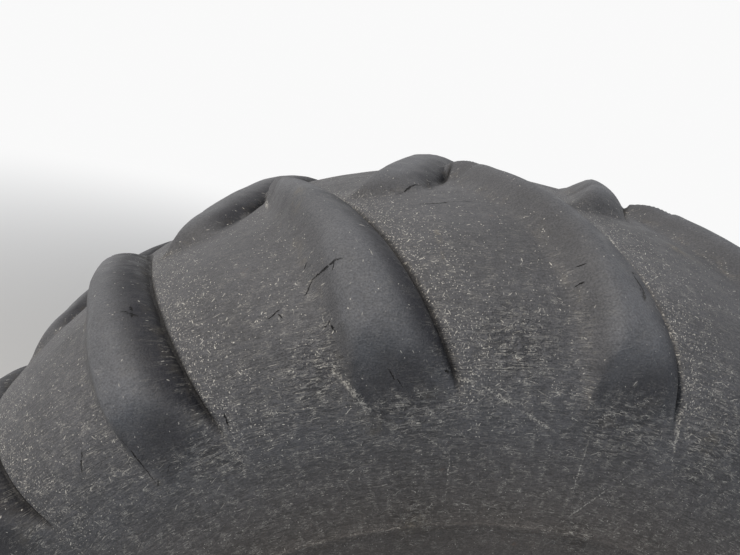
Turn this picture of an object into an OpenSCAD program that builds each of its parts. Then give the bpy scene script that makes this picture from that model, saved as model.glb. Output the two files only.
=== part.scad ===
// Rear wheel of a forestry skidder on its planetary axle end, in millimetres.
// The wheel turns about Y. The origin is the middle of the flange that bolts to
// the axle: -Y points outboard, -X to the front of the machine and +Z up.

/* [Tyre] */
// Diameter over the worn lugs
tyre_od = 1858; // [1840:1:1890]
// Bulge of the casing beyond the rim's flanges, both sides together
casing_bulge = 59; // [49:1:89]
// Radius of the casing's widest ring
widest_r = 679; // [660:1:700]
// How flat the tread is across, as a power
tread_flatness = 3; // [2.6:0.1:3.6]
// How full the shoulder is, as a power
shoulder_fullness = 2.2; // [2:0.1:2.6]
// Thickness of the casing under the tread
tread_t = 48; // [40:1:60]
// Thickness of the sidewall
sidewall_t = 22; // [16:1:28]
// Width of a bead on its seat
bead_w = 48; // [42:1:54]
// Height to which the bead stands against the rim's flange
bead_h = 34; // [32:1:40]

/* [Lugs] */
// Lugs on each side of the tread
lugs_per_side = 18; // [16:1:20]
// Height of a worn lug over the casing
lug_h = 40; // [20:1:50]
// Width of a lug round the shoulder, at its foot
lug_w = 138; // [120:1:150]
// Width of a lug's nose at the crown's middle, at its foot
lug_nose_w = 92; // [84:1:100]
// Share of a pitch by which the inboard row of lugs stands ahead of the outboard row
row_stagger = 0.39; // [0.39:0.01:0.5]
// Run of the steep foot of the trailing flank
trail_run = 8; // [4:1:14]
// Share of the height that this steep foot has
trail_share = 0.6; // [0.4:0.05:0.8]
// Distance from the trailing foot to the crest of the worn lug
crest_run = 56; // [40:1:70]
// Angle of a lug to the axle at the crown
bar_angle = 23; // [18:0.5:28]
// Angle of a lug to the axle at the shoulder
shoulder_bar_angle = 18; // [14:0.5:24]
// Turn of the tread on the rim
tread_turn = 8.3; // [0:0.1:20]

/* [Rim] */
// Radius of the bead seat at its heel
bead_seat_r = 406.4; // [404:0.1:408]
// Width between the flanges
rim_w = 686; // [680:1:696]
// Height of a flange over the bead seat
flange_h = 25.4; // [22:0.1:28]
// Radius of a flange's curl
curl_r = 12; // [11:0.5:14]
// Thickness of the rim's barrel
rim_t = 9; // [7:0.5:10]
// Taper of the bead seats
seat_taper = 5; // [4:0.5:6]
// Width of a bead seat
seat_w = 56; // [54:1:64]
// Drop of the barrel's ledge below the seat's inner end
ledge_drop = 5; // [3:1:10]
// Depth of the well below the ledge
well_depth = 44; // [40:1:50]
// Width of the well at its floor
well_w = 210; // [200:1:240]
// Slope of the well's walls to the radial plane
well_wall_run = 14; // [10:1:20]
// Distance of the well's middle outboard of the wheel's middle
well_offset = 20; // [0:1:30]

/* [Disc] */
// Thickness of the wheel disc
disc_t = 22; // [18:1:24]
// Distance of the disc's hub face outboard of the wheel's middle
disc_offset = 30; // [20:1:40]
// Flat of the disc beyond the hub's wheel flange
disc_flat_edge = 12; // [8:1:18]
// Depth of the dish from the flat middle back to the rim
dish_depth = 60; // [50:1:70]
// Width of the disc's outer ring, from the dish to the rim
dish_edge = 25; // [22:1:34]
// Leg of the weld between disc and rim
weld_leg = 10; // [6:1:12]

/* [Wheel fasteners] */
// Studs on the hub
stud_count = 12; // [10:1:14]
// Room from the gear housing out to the stud circle
nut_room = 26.5; // [23:0.5:30]
// Radius of a stud
stud_r = 11; // [10:0.5:12]
// Radius of a stud's head
stud_head_r = 16; // [15:0.5:17]
// Thickness of a stud's head
stud_head_t = 7; // [5:1:9]
// Width of a wheel nut across its flats
nut_af = 33; // [30:0.5:34]
// Thickness of a wheel nut
nut_t = 24; // [20:1:28]
// Length of stud that stands out of its nut
stud_show = 9; // [4:1:14]

/* [Hub] */
// Radius of the hub's barrel
hub_r = 150; // [146:1:154]
// Edge of the hub's wheel flange beyond the stud circle
hub_flange_edge = 37.5; // [32:0.5:42]
// Thickness of the hub's wheel flange
hub_flange_t = 26; // [22:1:30]
// Radius of the gear housing that pilots the disc
pilot_r = 186; // [184:0.5:188]
// Length of the gear housing beyond the disc's hub face
gear_housing_l = 128; // [115:1:140]
// Wall of the gear housing
gear_wall = 38; // [34:1:42]
// Length of the hub inboard of its wheel flange's outer face
hub_l = 154; // [148:1:156]

/* [Planet housing] */
// Thickness of the planet housing's flange
planet_flange_t = 18; // [14:1:22]
// Height of the planet housing over its flange
planet_h = 66; // [56:1:76]
// Step from the edge of the planet housing's flange in to its cone
planet_step = 28; // [26:1:32]
// Draw of the cone from its foot to its face, on the radius
planet_draw = 46; // [40:1:50]
// Planet pins
planet_count = 3; // [3:1:4]
// Distance of a planet pin's middle inside the face's edge
planet_pin_edge = 12; // [8:1:16]
// Radius of a planet pin's boss
planet_boss_r = 40; // [36:1:42]
// Radius of a planet pin's end
planet_pin_r = 25; // [20:1:28]
// Bolts that hold the planet housing
planet_bolts = 12; // [12:1:16]
// Distance of those bolts inside the flange's edge
planet_bolt_edge = 14; // [12:0.5:15]
// Radius of such a bolt's shank
planet_bolt_r = 6; // [5:0.5:6.5]
// Length of such a bolt in the hub
planet_bolt_grip = 24; // [18:1:28]
// Radius of the centre cap
cap_r = 52; // [48:1:55]
// Thickness of the centre cap
cap_t = 10; // [8:1:14]
// Screws that hold the centre cap
cap_screws = 6; // [4:1:8]
// Radius of such a screw's shank
cap_screw_r = 4; // [3:0.5:5]
// Length of such a screw in the planet housing
cap_screw_grip = 14; // [10:1:18]
// Radius of the oil plug's hexagon
plug_r = 12; // [10:1:14]

/* [Axle end] */
// Distance of the wheel's middle outboard of the axle flange's face
wheel_offset = 400; // [396:1:410]
// Edge of the axle flange beyond its bolt circle
axle_flange_edge = 30; // [25:1:45]
// Thickness of the axle flange
axle_flange_t = 30; // [26:1:36]
// Bolt holes in the axle flange
axle_holes = 12; // [10:1:14]
// Diameter of the axle flange's bolt circle
axle_pcd = 360; // [354:1:366]
// Radius of a bolt hole in the axle flange
axle_hole_r = 11; // [9:0.5:12]
// Radius of the axle flange's spigot
spigot_r = 140; // [135:1:145]
// Height of the spigot
spigot_h = 8; // [6:1:12]
// Radius of the axle housing's tube
housing_r = 112; // [106:1:116]
// Length of the neck behind the axle flange
neck_l = 70; // [60:1:80]
// Flare of the neck at the axle flange, on the radius
neck_flare = 34; // [24:1:36]
// Edge of the end flange beyond the tube
joint_flange_edge = 24; // [22:1:26]
// Thickness of the end flange on the housing and the spindle
joint_flange_t = 22; // [18:1:24]
// Ribs behind the axle flange
rib_count = 6; // [4:1:12]
// Thickness of a rib
rib_t = 14; // [10:1:18]
// Room between a rib and the bolt holes
rib_room = 14; // [10:1:20]
// Height of a rib's toe on the flange
rib_toe = 6; // [4:1:10]
// Reach of a rib along the tube beyond the neck
rib_l = 50; // [30:1:60]
// Radius of the bore along the axle end
axle_bore_r = 46; // [43:1:48]
// Screws that hold the spindle
spindle_screws = 12; // [10:1:12]
// Radius of a spindle screw's shank
spindle_screw_r = 7; // [6:0.5:7.5]
// Thickness of a spindle screw's head
spindle_head_t = 9; // [7:0.5:11]
// Reach of the spindle beyond the disc's hub face
spindle_reach = 40; // [34:1:50]
// Radius of the spindle under the inner bearing
inner_journal_r = 90; // [86:1:92]
// Radius of the spindle under the outer bearing
outer_journal_r = 76; // [72:1:80]
// Width of each bearing's land
journal_w = 44; // [36:1:50]
// Thickness of the seal guard's wall
guard_t = 6; // [4:1:8]
// Reach of the seal guard over the hub
guard_reach = 18; // [12:1:24]

/* [Half shaft] */
// Radius of the half shaft
shaft_r = 30; // [26:1:33]
// Length of the half shaft beyond the axle flange's face
shaft_out = 82; // [70:1:100]
// Step down to the half shaft's splined end, on the radius
spline_relief = 3; // [2:0.5:5]
// Length of the splined end
spline_l = 60; // [50:1:65]
// Length of the bush that carries the half shaft
bush_l = 44; // [30:1:60]

/* [Valve] */
// Place of the valve round the rim
valve_angle = 52; // [0:1:360]
// Radius of the valve's stem
valve_r = 7; // [6:0.5:8]
// Length of the stem outboard of the rim's well
valve_l = 62; // [50:1:80]
// Wall of the valve's cap
valve_cap_wall = 2; // [1.5:0.5:3]
// Length of the valve's cap
valve_cap_l = 18; // [14:1:22]
// Room round the valve's cap inside its guard
guard_room = 8; // [6:0.5:10]
// Wall of the valve's guard
guard_wall = 5; // [4:0.5:6]

/* [Clearances] */
// Gap between pieces that seat on each other
seat_gap = 0.3; // [0.2:0.05:0.5]
// Running gap of a bearing or a bush, on the radius
run_gap = 0.05; // [0.02:0.01:0.08]
// Gap between moving pieces that don't bear on each other
clear_gap = 8; // [6:1:10]

/* [Hidden] */
$fn = 96;

tyre_colour = "#3b3d42";
paint_colour = "#f2b705";
steel_colour = "#8d8f92";
brass_colour = "#b8913f";

casing_half = (rim_w + casing_bulge) / 2;
crown_r = tyre_od / 2 - lug_h;
rim_half = rim_w / 2;
flange_top_r = bead_seat_r + flange_h;
seat_end_r = bead_seat_r - seat_w * tan(seat_taper);
ledge_r = seat_end_r - ledge_drop;
well_r = ledge_r - well_depth;
well_in_r = well_r - rim_t;
dish_r = well_in_r - dish_edge;

// Circles that follow from the gear housing's radius
stud_circle_r = pilot_r + nut_room;
hub_flange_r = stud_circle_r + hub_flange_edge;
disc_flat_r = hub_flange_r + disc_flat_edge;
gear_bore_r = pilot_r - gear_wall;
planet_bolt_circle_r = pilot_r - planet_bolt_edge;
planet_base_r = pilot_r - planet_step;
planet_face_r = planet_base_r - planet_draw;
planet_pin_circle_r = planet_face_r - planet_pin_edge;
cap_screw_circle_r = cap_r * 0.78;

axle_flange_r = axle_pcd / 2 + axle_flange_edge;
joint_flange_r = housing_r + joint_flange_edge;
spindle_screw_circle_r = (joint_flange_r + housing_r) / 2;
spline_r = shaft_r - spline_relief;
valve_cap_r = valve_r + valve_cap_wall;
guard_bore_r = valve_cap_r + guard_room;

// Stations outboard of the axle flange's face
disc_z = wheel_offset + disc_offset;
hub_flange_z = disc_z - hub_flange_t;
hub_in_z = disc_z - hub_l;
gear_end_z = disc_z + gear_housing_l;
planet_z = gear_end_z + planet_flange_t;
planet_face_z = planet_z + planet_h;
joint_z = hub_in_z - clear_gap - spindle_head_t - joint_flange_t;
spindle_z = joint_z + joint_flange_t;
spindle_end_z = disc_z + spindle_reach;
inner_land_z = hub_in_z + 12;
outer_land_z = spindle_end_z - journal_w - 6;

// Turns a shape built up along Z so that it points outboard
module outboard() {
    rotate([90, 0, 0]) children();
}

// Copies a child round the axle, at a radius
module around(count, radius, start = 0) {
    for (i = [0 : count - 1])
        rotate([0, 0, start + i * 360 / count])
            translate([radius, 0, 0])
                children();
}

function unit(v) = v / norm(v);
// Direction across a line, on its right-hand side
function right_of(a, b) = let (d = unit(b - a)) [d[1], -d[0]];
// Mitred step across a path at one of its points
function mitre(path, i) =
    let (last = len(path) - 1)
    let (n1 = right_of(path[max(i - 1, 0)], path[max(i, 1)]))
    let (n2 = right_of(path[min(i, last - 1)], path[min(i + 1, last)]))
    (n1 + n2) / (1 + n1 * n2);
// Outline of a sheet of one thickness, on the right-hand side of a path
function sheet_outline(path, t) =
    let (last = len(path) - 1)
    concat(path, [for (i = [last : -1 : 0]) path[i] + t * mitre(path, i)]);

// Radius of the bead seat at a distance from the rim's middle
function seat_r(y) = bead_seat_r - (rim_half - abs(y)) * tan(seat_taper);

// The casing's section, from t = 0 at the crown to t = 90 at the widest ring:
// distance from the middle, then radius
function casing_point(t, half_w, top_r) = [
    half_w * sin(t),
    widest_r + (top_r - widest_r)
        * pow(max(0, 1 - pow(abs(sin(t)), tread_flatness)), 1 / shoulder_fullness)
];
function casing_normal(t) =
    let (a = casing_point(t - 0.5, casing_half, crown_r))
    let (b = casing_point(t + 0.5, casing_half, crown_r))
    unit([a[1] - b[1], b[0] - a[0]]);

// Angles of the tread's rings. A lug stands at its full height from just past
// the crown's middle to its shoulder, and is down on the casing at its ends.
nose_t = 10;
shoulder_t = 61;
end_t = 70;
foot_t = 79;
end_share = 0.6;
tread_t_rows = [-foot_t, -end_t, -shoulder_t, -42, -25, -nose_t, 0,
                nose_t, 25, 42, shoulder_t, end_t, foot_t];
function lug_share(t) =
    t <= -nose_t || t >= foot_t ? 0 : t >= end_t ? end_share : 1;

// Distance from the crown's middle round to the angle t, by chords
function round_to(t, step = 5) =
    t <= step ? norm(casing_point(t, casing_half, crown_r) - [0, crown_r])
    : norm(casing_point(t, casing_half, crown_r) - casing_point(t - step, casing_half, crown_r))
        + round_to(t - step, step);
// How far a lug has leant back round the tyre at that distance, in degrees
shoulder_s = round_to(shoulder_t);
function lean(t) =
    let (s = round_to(abs(t)))
    let (slope_loss = tan(bar_angle) - tan(shoulder_bar_angle))
    -(tan(bar_angle) * s - slope_loss * s * s / (2 * shoulder_s)) / crown_r * 180 / PI;

pitch = 360 / lugs_per_side;
row_angle = pitch * row_stagger;
// Angle that a lug takes up at its foot. It widens from its nose to the shoulder.
function foot_angle(t) =
    let (width = lug_nose_w + (lug_w - lug_nose_w) * sqrt(min(1, round_to(abs(t)) / shoulder_s)))
    width / crown_r * 180 / PI;
// Lines of one lug round the tyre: trailing foot and edge, crest and leading foot
function lug_lines(t) =
    concat([0, trail_run, crest_run] / crown_r * 180 / PI, [foot_angle(t)]);
line_shares = [0, trail_share, 1, 0];
// Beyond its nose a lug's lines lie evenly on the casing, between two lugs of the other row
function spare_lines(t, hand) =
    let (start = foot_angle(t) + (hand == 0 ? row_angle - pitch : 0))
    [for (i = [1 : 4]) start + (pitch - foot_angle(t)) * i / 5];

// One pitch of a ring is a list of [angle, distance from the middle, radius].
// A tread ring has the lines of the outboard row's lug, then those of the inboard row's.
function tread_ring(t) =
    let (on = casing_point(t, casing_half, crown_r))
    let (out = casing_normal(t))
    [
        for (hand = [0, 1])
            let (own_t = hand == 0 ? t : -t)
            let (lines = own_t < -nose_t ? spare_lines(t, hand)
                : [for (line = lug_lines(t)) line + hand * row_angle])
            for (i = [0 : 3])
                let (p = on + out * lug_h * lug_share(own_t) * line_shares[i])
                [lines[i] + lean(t), p[0], p[1]]
    ];
function plain_ring(point, side, count) = [
    for (i = [0 : count - 1])
        [i * pitch / count + lean(foot_t), side * point[0], point[1]]
];

// Rings of one side below the tread, outside and then inside
side_count = 4;
inner_count = 2;
bead_spread = 1 / cos(pitch / side_count / 2);
function bead_point(y) = [y, (seat_r(y) + seat_gap) * bead_spread];
heel_y = rim_half - seat_gap;
flank_r = (widest_r + bead_seat_r + bead_h) / 2;
outer_side = [
    [casing_half, widest_r],
    [casing_half - sidewall_t * 0.4, flank_r],
    [heel_y, (bead_seat_r + bead_h) * bead_spread],
    bead_point(heel_y),
    bead_point(heel_y - bead_w)
];
inner_half = casing_half - sidewall_t;
inner_crown_r = crown_r - tread_t;
inner_t_rows = [90, 62, 34];
inner_side = concat(
    [[heel_y - bead_w * 0.55, flank_r - (flank_r - bead_seat_r) * 0.5]],
    [for (t = inner_t_rows) casing_point(t, inner_half, inner_crown_r)]
);

function reversed(list) = [for (i = [len(list) - 1 : -1 : 0]) list[i]];
tyre_rings = concat(
    [for (t = tread_t_rows) tread_ring(t)],
    [for (p = outer_side) plain_ring(p, 1, side_count)],
    [for (p = inner_side) plain_ring(p, 1, inner_count)],
    [plain_ring([0, inner_crown_r], 1, inner_count)],
    [for (p = reversed(inner_side)) plain_ring(p, -1, inner_count)],
    [for (p = reversed(outer_side)) plain_ring(p, -1, side_count)]
);

// Index of a ring's first point, and of one of its points
ring_starts = [
    for (i = 0, n = 0; i < len(tyre_rings);
         n = n + len(tyre_rings[i]) * lugs_per_side, i = i + 1) n
];
function point_of(ring, k) =
    ring_starts[ring] + k % (len(tyre_rings[ring]) * lugs_per_side);

// Triangles between two neighbouring rings, which have as many points as each
// other, or one has twice as many as the other
function strip(a, b) =
    let (na = len(tyre_rings[a]), nb = len(tyre_rings[b]))
    let (n = min(na, nb) * lugs_per_side)
    [
        for (k = [0 : n - 1])
            let (ka = k * na / min(na, nb), kb = k * nb / min(na, nb))
            let (a0 = point_of(a, ka), a1 = point_of(a, ka + 1))
            let (b0 = point_of(b, kb), b1 = point_of(b, kb + 1))
            each na == nb ? [[a0, b0, a1], [a1, b0, b1]]
                : na > nb ? [[a0, b0, a1], [a1, b0, b1], [a1, b1, point_of(a, ka + 2)]]
                : [[a0, b0, b1], [a0, b1, a1], [a1, b1, point_of(b, kb + 2)]]
    ];

module tyre() {
    points = [
        for (ring = tyre_rings, i = [0 : lugs_per_side - 1], p = ring)
            let (angle = 90 + tread_turn + i * pitch + p[0])
            [p[2] * cos(angle), p[2] * sin(angle), wheel_offset + p[1]]
    ];
    last = len(tyre_rings) - 1;
    faces = [for (i = [0 : last]) each strip(i, i == last ? 0 : i + 1)];
    color(tyre_colour)
        outboard()
            polyhedron(points, faces);
}

// The rim's tyre side, from the outboard lip to the inboard one:
// distance from the rim's middle, then radius
function curl_points(side, angles) = [
    for (a = angles)
        [side * (rim_half + curl_r + curl_r * cos(a)), flange_top_r - curl_r + curl_r * sin(a)]
];
well_out = well_offset + well_w / 2;
well_in = well_offset - well_w / 2;
rim_path = concat(
    curl_points(1, [0 : 30 : 180]),
    [
        [rim_half, bead_seat_r],
        [rim_half - seat_w, seat_end_r],
        [rim_half - seat_w - ledge_drop, ledge_r],
        [well_out + well_wall_run, ledge_r],
        [well_out, well_r],
        [well_in, well_r],
        [well_in - well_wall_run, ledge_r],
        [-rim_half + seat_w + ledge_drop, ledge_r],
        [-rim_half + seat_w, seat_end_r],
        [-rim_half, bead_seat_r]
    ],
    curl_points(-1, [180 : -30 : 0])
);

// Middle of the valve's hole, in the well's outboard wall
valve_y = well_out + well_wall_run / 2;
valve_axis_r = ledge_r - rim_t - guard_bore_r - guard_wall / 2;

module at_valve() {
    rotate([0, 0, valve_angle])
        translate([valve_axis_r, 0, wheel_offset + valve_y])
            children();
}

module rim() {
    outline = [for (p = sheet_outline(rim_path, -rim_t)) [p[1], p[0] + wheel_offset]];
    color(paint_colour)
        outboard()
            difference() {
                rotate_extrude() polygon(outline);
                at_valve() cylinder(r = valve_r + seat_gap, h = 2 * (well_wall_run + rim_t), center = true);
            }
}

// The disc's hub face, from its bore to the rim
module disc() {
    edge_r = well_in_r - seat_gap;
    face_path = [
        [pilot_r + seat_gap, disc_z],
        [disc_flat_r, disc_z],
        [dish_r, disc_z - dish_depth],
        [edge_r, disc_z - dish_depth]
    ];
    weld_z = disc_z - dish_depth + disc_t;
    weld = [[edge_r - weld_leg, weld_z], [edge_r, weld_z], [edge_r, weld_z + weld_leg]];
    color(paint_colour)
        outboard()
            difference() {
                union() {
                    rotate_extrude() polygon(sheet_outline(face_path, -disc_t));
                    rotate_extrude() polygon(weld);
                }
                around(stud_count, stud_circle_r)
                    translate([0, 0, disc_z - 1])
                        cylinder(r = stud_r + seat_gap, h = disc_t + 2, $fn = 48);
            }
}

module valve_stem() {
    base_l = 12;
    color(brass_colour)
        outboard()
            at_valve() {
                translate([0, 0, -base_l - rim_t])
                    cylinder(r = valve_r, h = base_l + rim_t + valve_l, $fn = 48);
                translate([0, 0, well_wall_run])
                    cylinder(r = valve_r + 4, h = 8, $fn = 6);
            }
}

module valve_cap() {
    color(brass_colour)
        outboard()
            at_valve()
                difference() {
                    translate([0, 0, valve_l - valve_cap_l / 2])
                        cylinder(r = valve_cap_r, h = valve_cap_l, $fn = 48);
                    translate([0, 0, valve_l - valve_cap_l])
                        cylinder(r = valve_r + seat_gap, h = valve_cap_l + seat_gap, $fn = 48);
                }
}

// Half a tube round the stem, welded under the rim's ledge
module valve_guard() {
    outer_r = guard_bore_r + guard_wall;
    color(paint_colour)
        outboard()
            intersection() {
                at_valve()
                    translate([0, 0, well_wall_run])
                        difference() {
                            cylinder(r = outer_r, h = valve_l, $fn = 64);
                            translate([0, 0, -1])
                                cylinder(r = guard_bore_r, h = valve_l + 2, $fn = 64);
                        }
                translate([0, 0, wheel_offset])
                    cylinder(r = ledge_r - rim_t - seat_gap, h = rim_half, $fn = 96);
            }
}

// Hub, wheel flange and gear housing in one casting
module hub() {
    inner_r = inner_journal_r + run_gap;
    outer_r = outer_journal_r + run_gap;
    relief = 6;
    gusset_rise = 22;
    gusset_run = 18;
    outer_line = [
        [hub_r, hub_in_z],
        [hub_r, hub_flange_z - gusset_run],
        [hub_r + gusset_rise, hub_flange_z],
        [hub_flange_r, hub_flange_z],
        [hub_flange_r, disc_z],
        [pilot_r, disc_z],
        [pilot_r, gear_end_z]
    ];
    inner_line = [
        [gear_bore_r, gear_end_z],
        [gear_bore_r, spindle_end_z],
        [outer_r, spindle_end_z - 4],
        [outer_r, outer_land_z],
        [outer_r + 2 * relief, outer_land_z],
        [inner_r + relief, inner_land_z + journal_w],
        [inner_r, inner_land_z + journal_w],
        [inner_r, inner_land_z],
        [inner_r + relief, inner_land_z],
        [inner_r + relief, hub_in_z]
    ];
    color(paint_colour)
        outboard()
            difference() {
                rotate_extrude() polygon(concat(outer_line, inner_line));
                around(stud_count, stud_circle_r)
                    translate([0, 0, hub_flange_z - 1])
                        cylinder(r = stud_r + seat_gap, h = hub_flange_t + 2, $fn = 48);
                around(planet_bolts, planet_bolt_circle_r)
                    translate([0, 0, gear_end_z - planet_bolt_grip - seat_gap])
                        cylinder(r = planet_bolt_r + seat_gap, h = planet_bolt_grip + 1, $fn = 32);
            }
}

module wheel_studs() {
    stud_l = hub_flange_t + disc_t + nut_t + stud_show;
    color(steel_colour)
        outboard()
            around(stud_count, stud_circle_r) {
                translate([0, 0, hub_flange_z - 1])
                    cylinder(r = stud_r, h = stud_l + 1, $fn = 48);
                translate([0, 0, hub_flange_z - stud_head_t])
                    cylinder(r = stud_head_r, h = stud_head_t, $fn = 48);
            }
}

module wheel_nuts() {
    color(steel_colour)
        outboard()
            around(stud_count, stud_circle_r)
                translate([0, 0, disc_z + disc_t])
                    difference() {
                        union() {
                            cylinder(r = nut_af / 2 / cos(30), h = nut_t, $fn = 6);
                            cylinder(r = nut_af * 0.62, h = 4, $fn = 48);
                        }
                        translate([0, 0, -1])
                            cylinder(r = stud_r + seat_gap, h = nut_t + 2, $fn = 48);
                    }
}

module planet_housing() {
    outline = [
        [0, gear_end_z],
        [pilot_r, gear_end_z],
        [pilot_r, planet_z],
        [planet_base_r, planet_z],
        [planet_face_r, planet_face_z - 8],
        [planet_face_r - 8, planet_face_z],
        [0, planet_face_z]
    ];
    boss_step = 4;
    pin_recess = 3;
    boss_z = planet_face_z - boss_step;
    color(paint_colour)
        outboard()
            difference() {
                union() {
                    rotate_extrude() polygon(outline);
                    around(planet_count, planet_pin_circle_r, 30)
                        translate([0, 0, planet_z - 1])
                            cylinder(r = planet_boss_r, h = boss_z - planet_z + 1, $fn = 64);
                }
                around(planet_count, planet_pin_circle_r, 30) {
                    translate([0, 0, boss_z])
                        cylinder(r = planet_boss_r + 2, h = boss_step + 1, $fn = 64);
                    translate([0, 0, boss_z - pin_recess])
                        cylinder(r = planet_pin_r, h = pin_recess + 1, $fn = 64);
                }
                around(planet_bolts, planet_bolt_circle_r)
                    translate([0, 0, gear_end_z - 1])
                        cylinder(r = planet_bolt_r + seat_gap, h = planet_flange_t + 2, $fn = 32);
                around(cap_screws, cap_screw_circle_r)
                    translate([0, 0, planet_face_z - cap_screw_grip - seat_gap])
                        cylinder(r = cap_screw_r + seat_gap, h = cap_screw_grip + 1, $fn = 32);
            }
}

// Hexagon head on a plain shank, its head seated at z = 0
module hex_screw(shank_r, shank_l, head_t) {
    translate([0, 0, -shank_l])
        cylinder(r = shank_r, h = shank_l + 0.5, $fn = 32);
    cylinder(r = shank_r * 1.75, h = head_t, $fn = 6);
}

module planet_bolts() {
    color(steel_colour)
        outboard()
            around(planet_bolts, planet_bolt_circle_r)
                translate([0, 0, planet_z])
                    hex_screw(planet_bolt_r, planet_flange_t + planet_bolt_grip, planet_bolt_r * 1.4);
}

module centre_cap() {
    color(paint_colour)
        outboard()
            translate([0, 0, planet_face_z])
                difference() {
                    union() {
                        cylinder(r = cap_r, h = cap_t - 3);
                        cylinder(r = cap_r - 4, h = cap_t);
                    }
                    around(cap_screws, cap_screw_circle_r)
                        translate([0, 0, -1])
                            cylinder(r = cap_screw_r + seat_gap, h = cap_t + 2, $fn = 32);
                }
}

module cap_screws() {
    color(steel_colour)
        outboard()
            around(cap_screws, cap_screw_circle_r)
                translate([0, 0, planet_face_z + cap_t])
                    hex_screw(cap_screw_r, cap_t + cap_screw_grip, cap_screw_r * 1.4);
}

// Level and filling plug on the planet housing's front face
module oil_plug() {
    color(steel_colour)
        outboard()
            rotate([0, 0, 90])
                translate([planet_face_r - 8 - plug_r * 1.6, 0, planet_face_z]) {
                    cylinder(r = plug_r * 1.2, h = 3, $fn = 48);
                    cylinder(r = plug_r, h = 12, $fn = 6);
                }
}

// Axle housing from the axle flange to the spindle, with ribs behind the flange
module axle_housing() {
    neck_z = axle_flange_t + neck_l;
    rib_r = axle_pcd / 2 - axle_hole_r - rib_room;
    rib_root = rib_t / 4;
    outline = [
        [axle_bore_r, -spigot_h],
        [spigot_r, -spigot_h],
        [spigot_r, 0],
        [axle_flange_r, 0],
        [axle_flange_r, axle_flange_t],
        [housing_r + neck_flare, axle_flange_t],
        [housing_r, neck_z],
        [housing_r, joint_z - joint_flange_t - joint_flange_edge / 2],
        [joint_flange_r, joint_z - joint_flange_t],
        [joint_flange_r, joint_z],
        [axle_bore_r, joint_z]
    ];
    rib = [
        [housing_r - rib_root, axle_flange_t - rib_root],
        [rib_r, axle_flange_t - rib_root],
        [rib_r, axle_flange_t + rib_toe],
        [housing_r - rib_root, neck_z + rib_l]
    ];
    color(paint_colour)
        outboard()
            difference() {
                union() {
                    rotate_extrude() polygon(outline);
                    around(rib_count, 0, 15)
                        rotate([90, 0, 0])
                            linear_extrude(rib_t, center = true)
                                polygon(rib);
                }
                around(axle_holes, axle_pcd / 2)
                    translate([0, 0, -1])
                        cylinder(r = axle_hole_r, h = axle_flange_t + 2, $fn = 48);
                around(spindle_screws, spindle_screw_circle_r)
                    translate([0, 0, joint_z - joint_flange_t + 2])
                        cylinder(r = spindle_screw_r + seat_gap, h = joint_flange_t, $fn = 32);
            }
}

module spindle() {
    step = 4;
    step_gap = 6;
    outline = [
        [axle_bore_r, joint_z],
        [joint_flange_r, joint_z],
        [joint_flange_r, spindle_z],
        [inner_journal_r + step, spindle_z],
        [inner_journal_r + step, inner_land_z - step_gap],
        [inner_journal_r, inner_land_z - step_gap],
        [inner_journal_r, inner_land_z + journal_w],
        [inner_journal_r - step, inner_land_z + journal_w + step_gap],
        [outer_journal_r, outer_land_z - 3 * step_gap],
        [outer_journal_r, spindle_end_z - step],
        [outer_journal_r - step, spindle_end_z],
        [axle_bore_r, spindle_end_z]
    ];
    color(steel_colour)
        outboard()
            difference() {
                rotate_extrude() polygon(outline);
                around(spindle_screws, spindle_screw_circle_r)
                    translate([0, 0, joint_z - 1])
                        cylinder(r = spindle_screw_r + seat_gap, h = joint_flange_t + 2, $fn = 32);
            }
}

module spindle_screws() {
    color(steel_colour)
        outboard()
            around(spindle_screws, spindle_screw_circle_r)
                translate([0, 0, spindle_z])
                    hex_screw(spindle_screw_r, 2 * joint_flange_t - 4, spindle_head_t);
}

// Ring on the spindle's flange that keeps mud and bark off the hub's seal
module seal_guard() {
    inner_r = hub_r + clear_gap;
    foot_r = joint_flange_r + seat_gap;
    foot_z = joint_z + 4;
    outline = [
        [foot_r, foot_z],
        [inner_r + guard_t, foot_z],
        [inner_r + guard_t, hub_in_z + guard_reach],
        [inner_r, hub_in_z + guard_reach],
        [inner_r, foot_z + guard_t],
        [foot_r, foot_z + guard_t]
    ];
    color(paint_colour)
        outboard()
            rotate_extrude() polygon(outline);
}

// Bush in the axle flange's bore that carries the half shaft
module shaft_bush() {
    color(brass_colour)
        outboard()
            translate([0, 0, -spigot_h])
                difference() {
                    cylinder(r = axle_bore_r - run_gap, h = bush_l);
                    translate([0, 0, -1])
                        cylinder(r = shaft_r + run_gap, h = bush_l + 2);
                }
}

module half_shaft() {
    gear_l = 30;
    color(steel_colour)
        outboard() {
            translate([0, 0, spline_l - shaft_out])
                cylinder(r = shaft_r, h = spindle_end_z + gear_l + shaft_out - spline_l);
            translate([0, 0, -shaft_out])
                cylinder(r = spline_r, h = spline_l + 1);
        }
}

tyre();
rim();
disc();
valve_stem();
valve_cap();
valve_guard();
hub();
wheel_studs();
wheel_nuts();
planet_housing();
planet_bolts();
centre_cap();
cap_screws();
oil_plug();
axle_housing();
spindle();
spindle_screws();
seal_guard();
shaft_bush();
half_shaft();
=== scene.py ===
import bmesh
import bpy
import math
import numpy as np
from functools import partial
from mathutils import Matrix, Vector, noise


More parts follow.
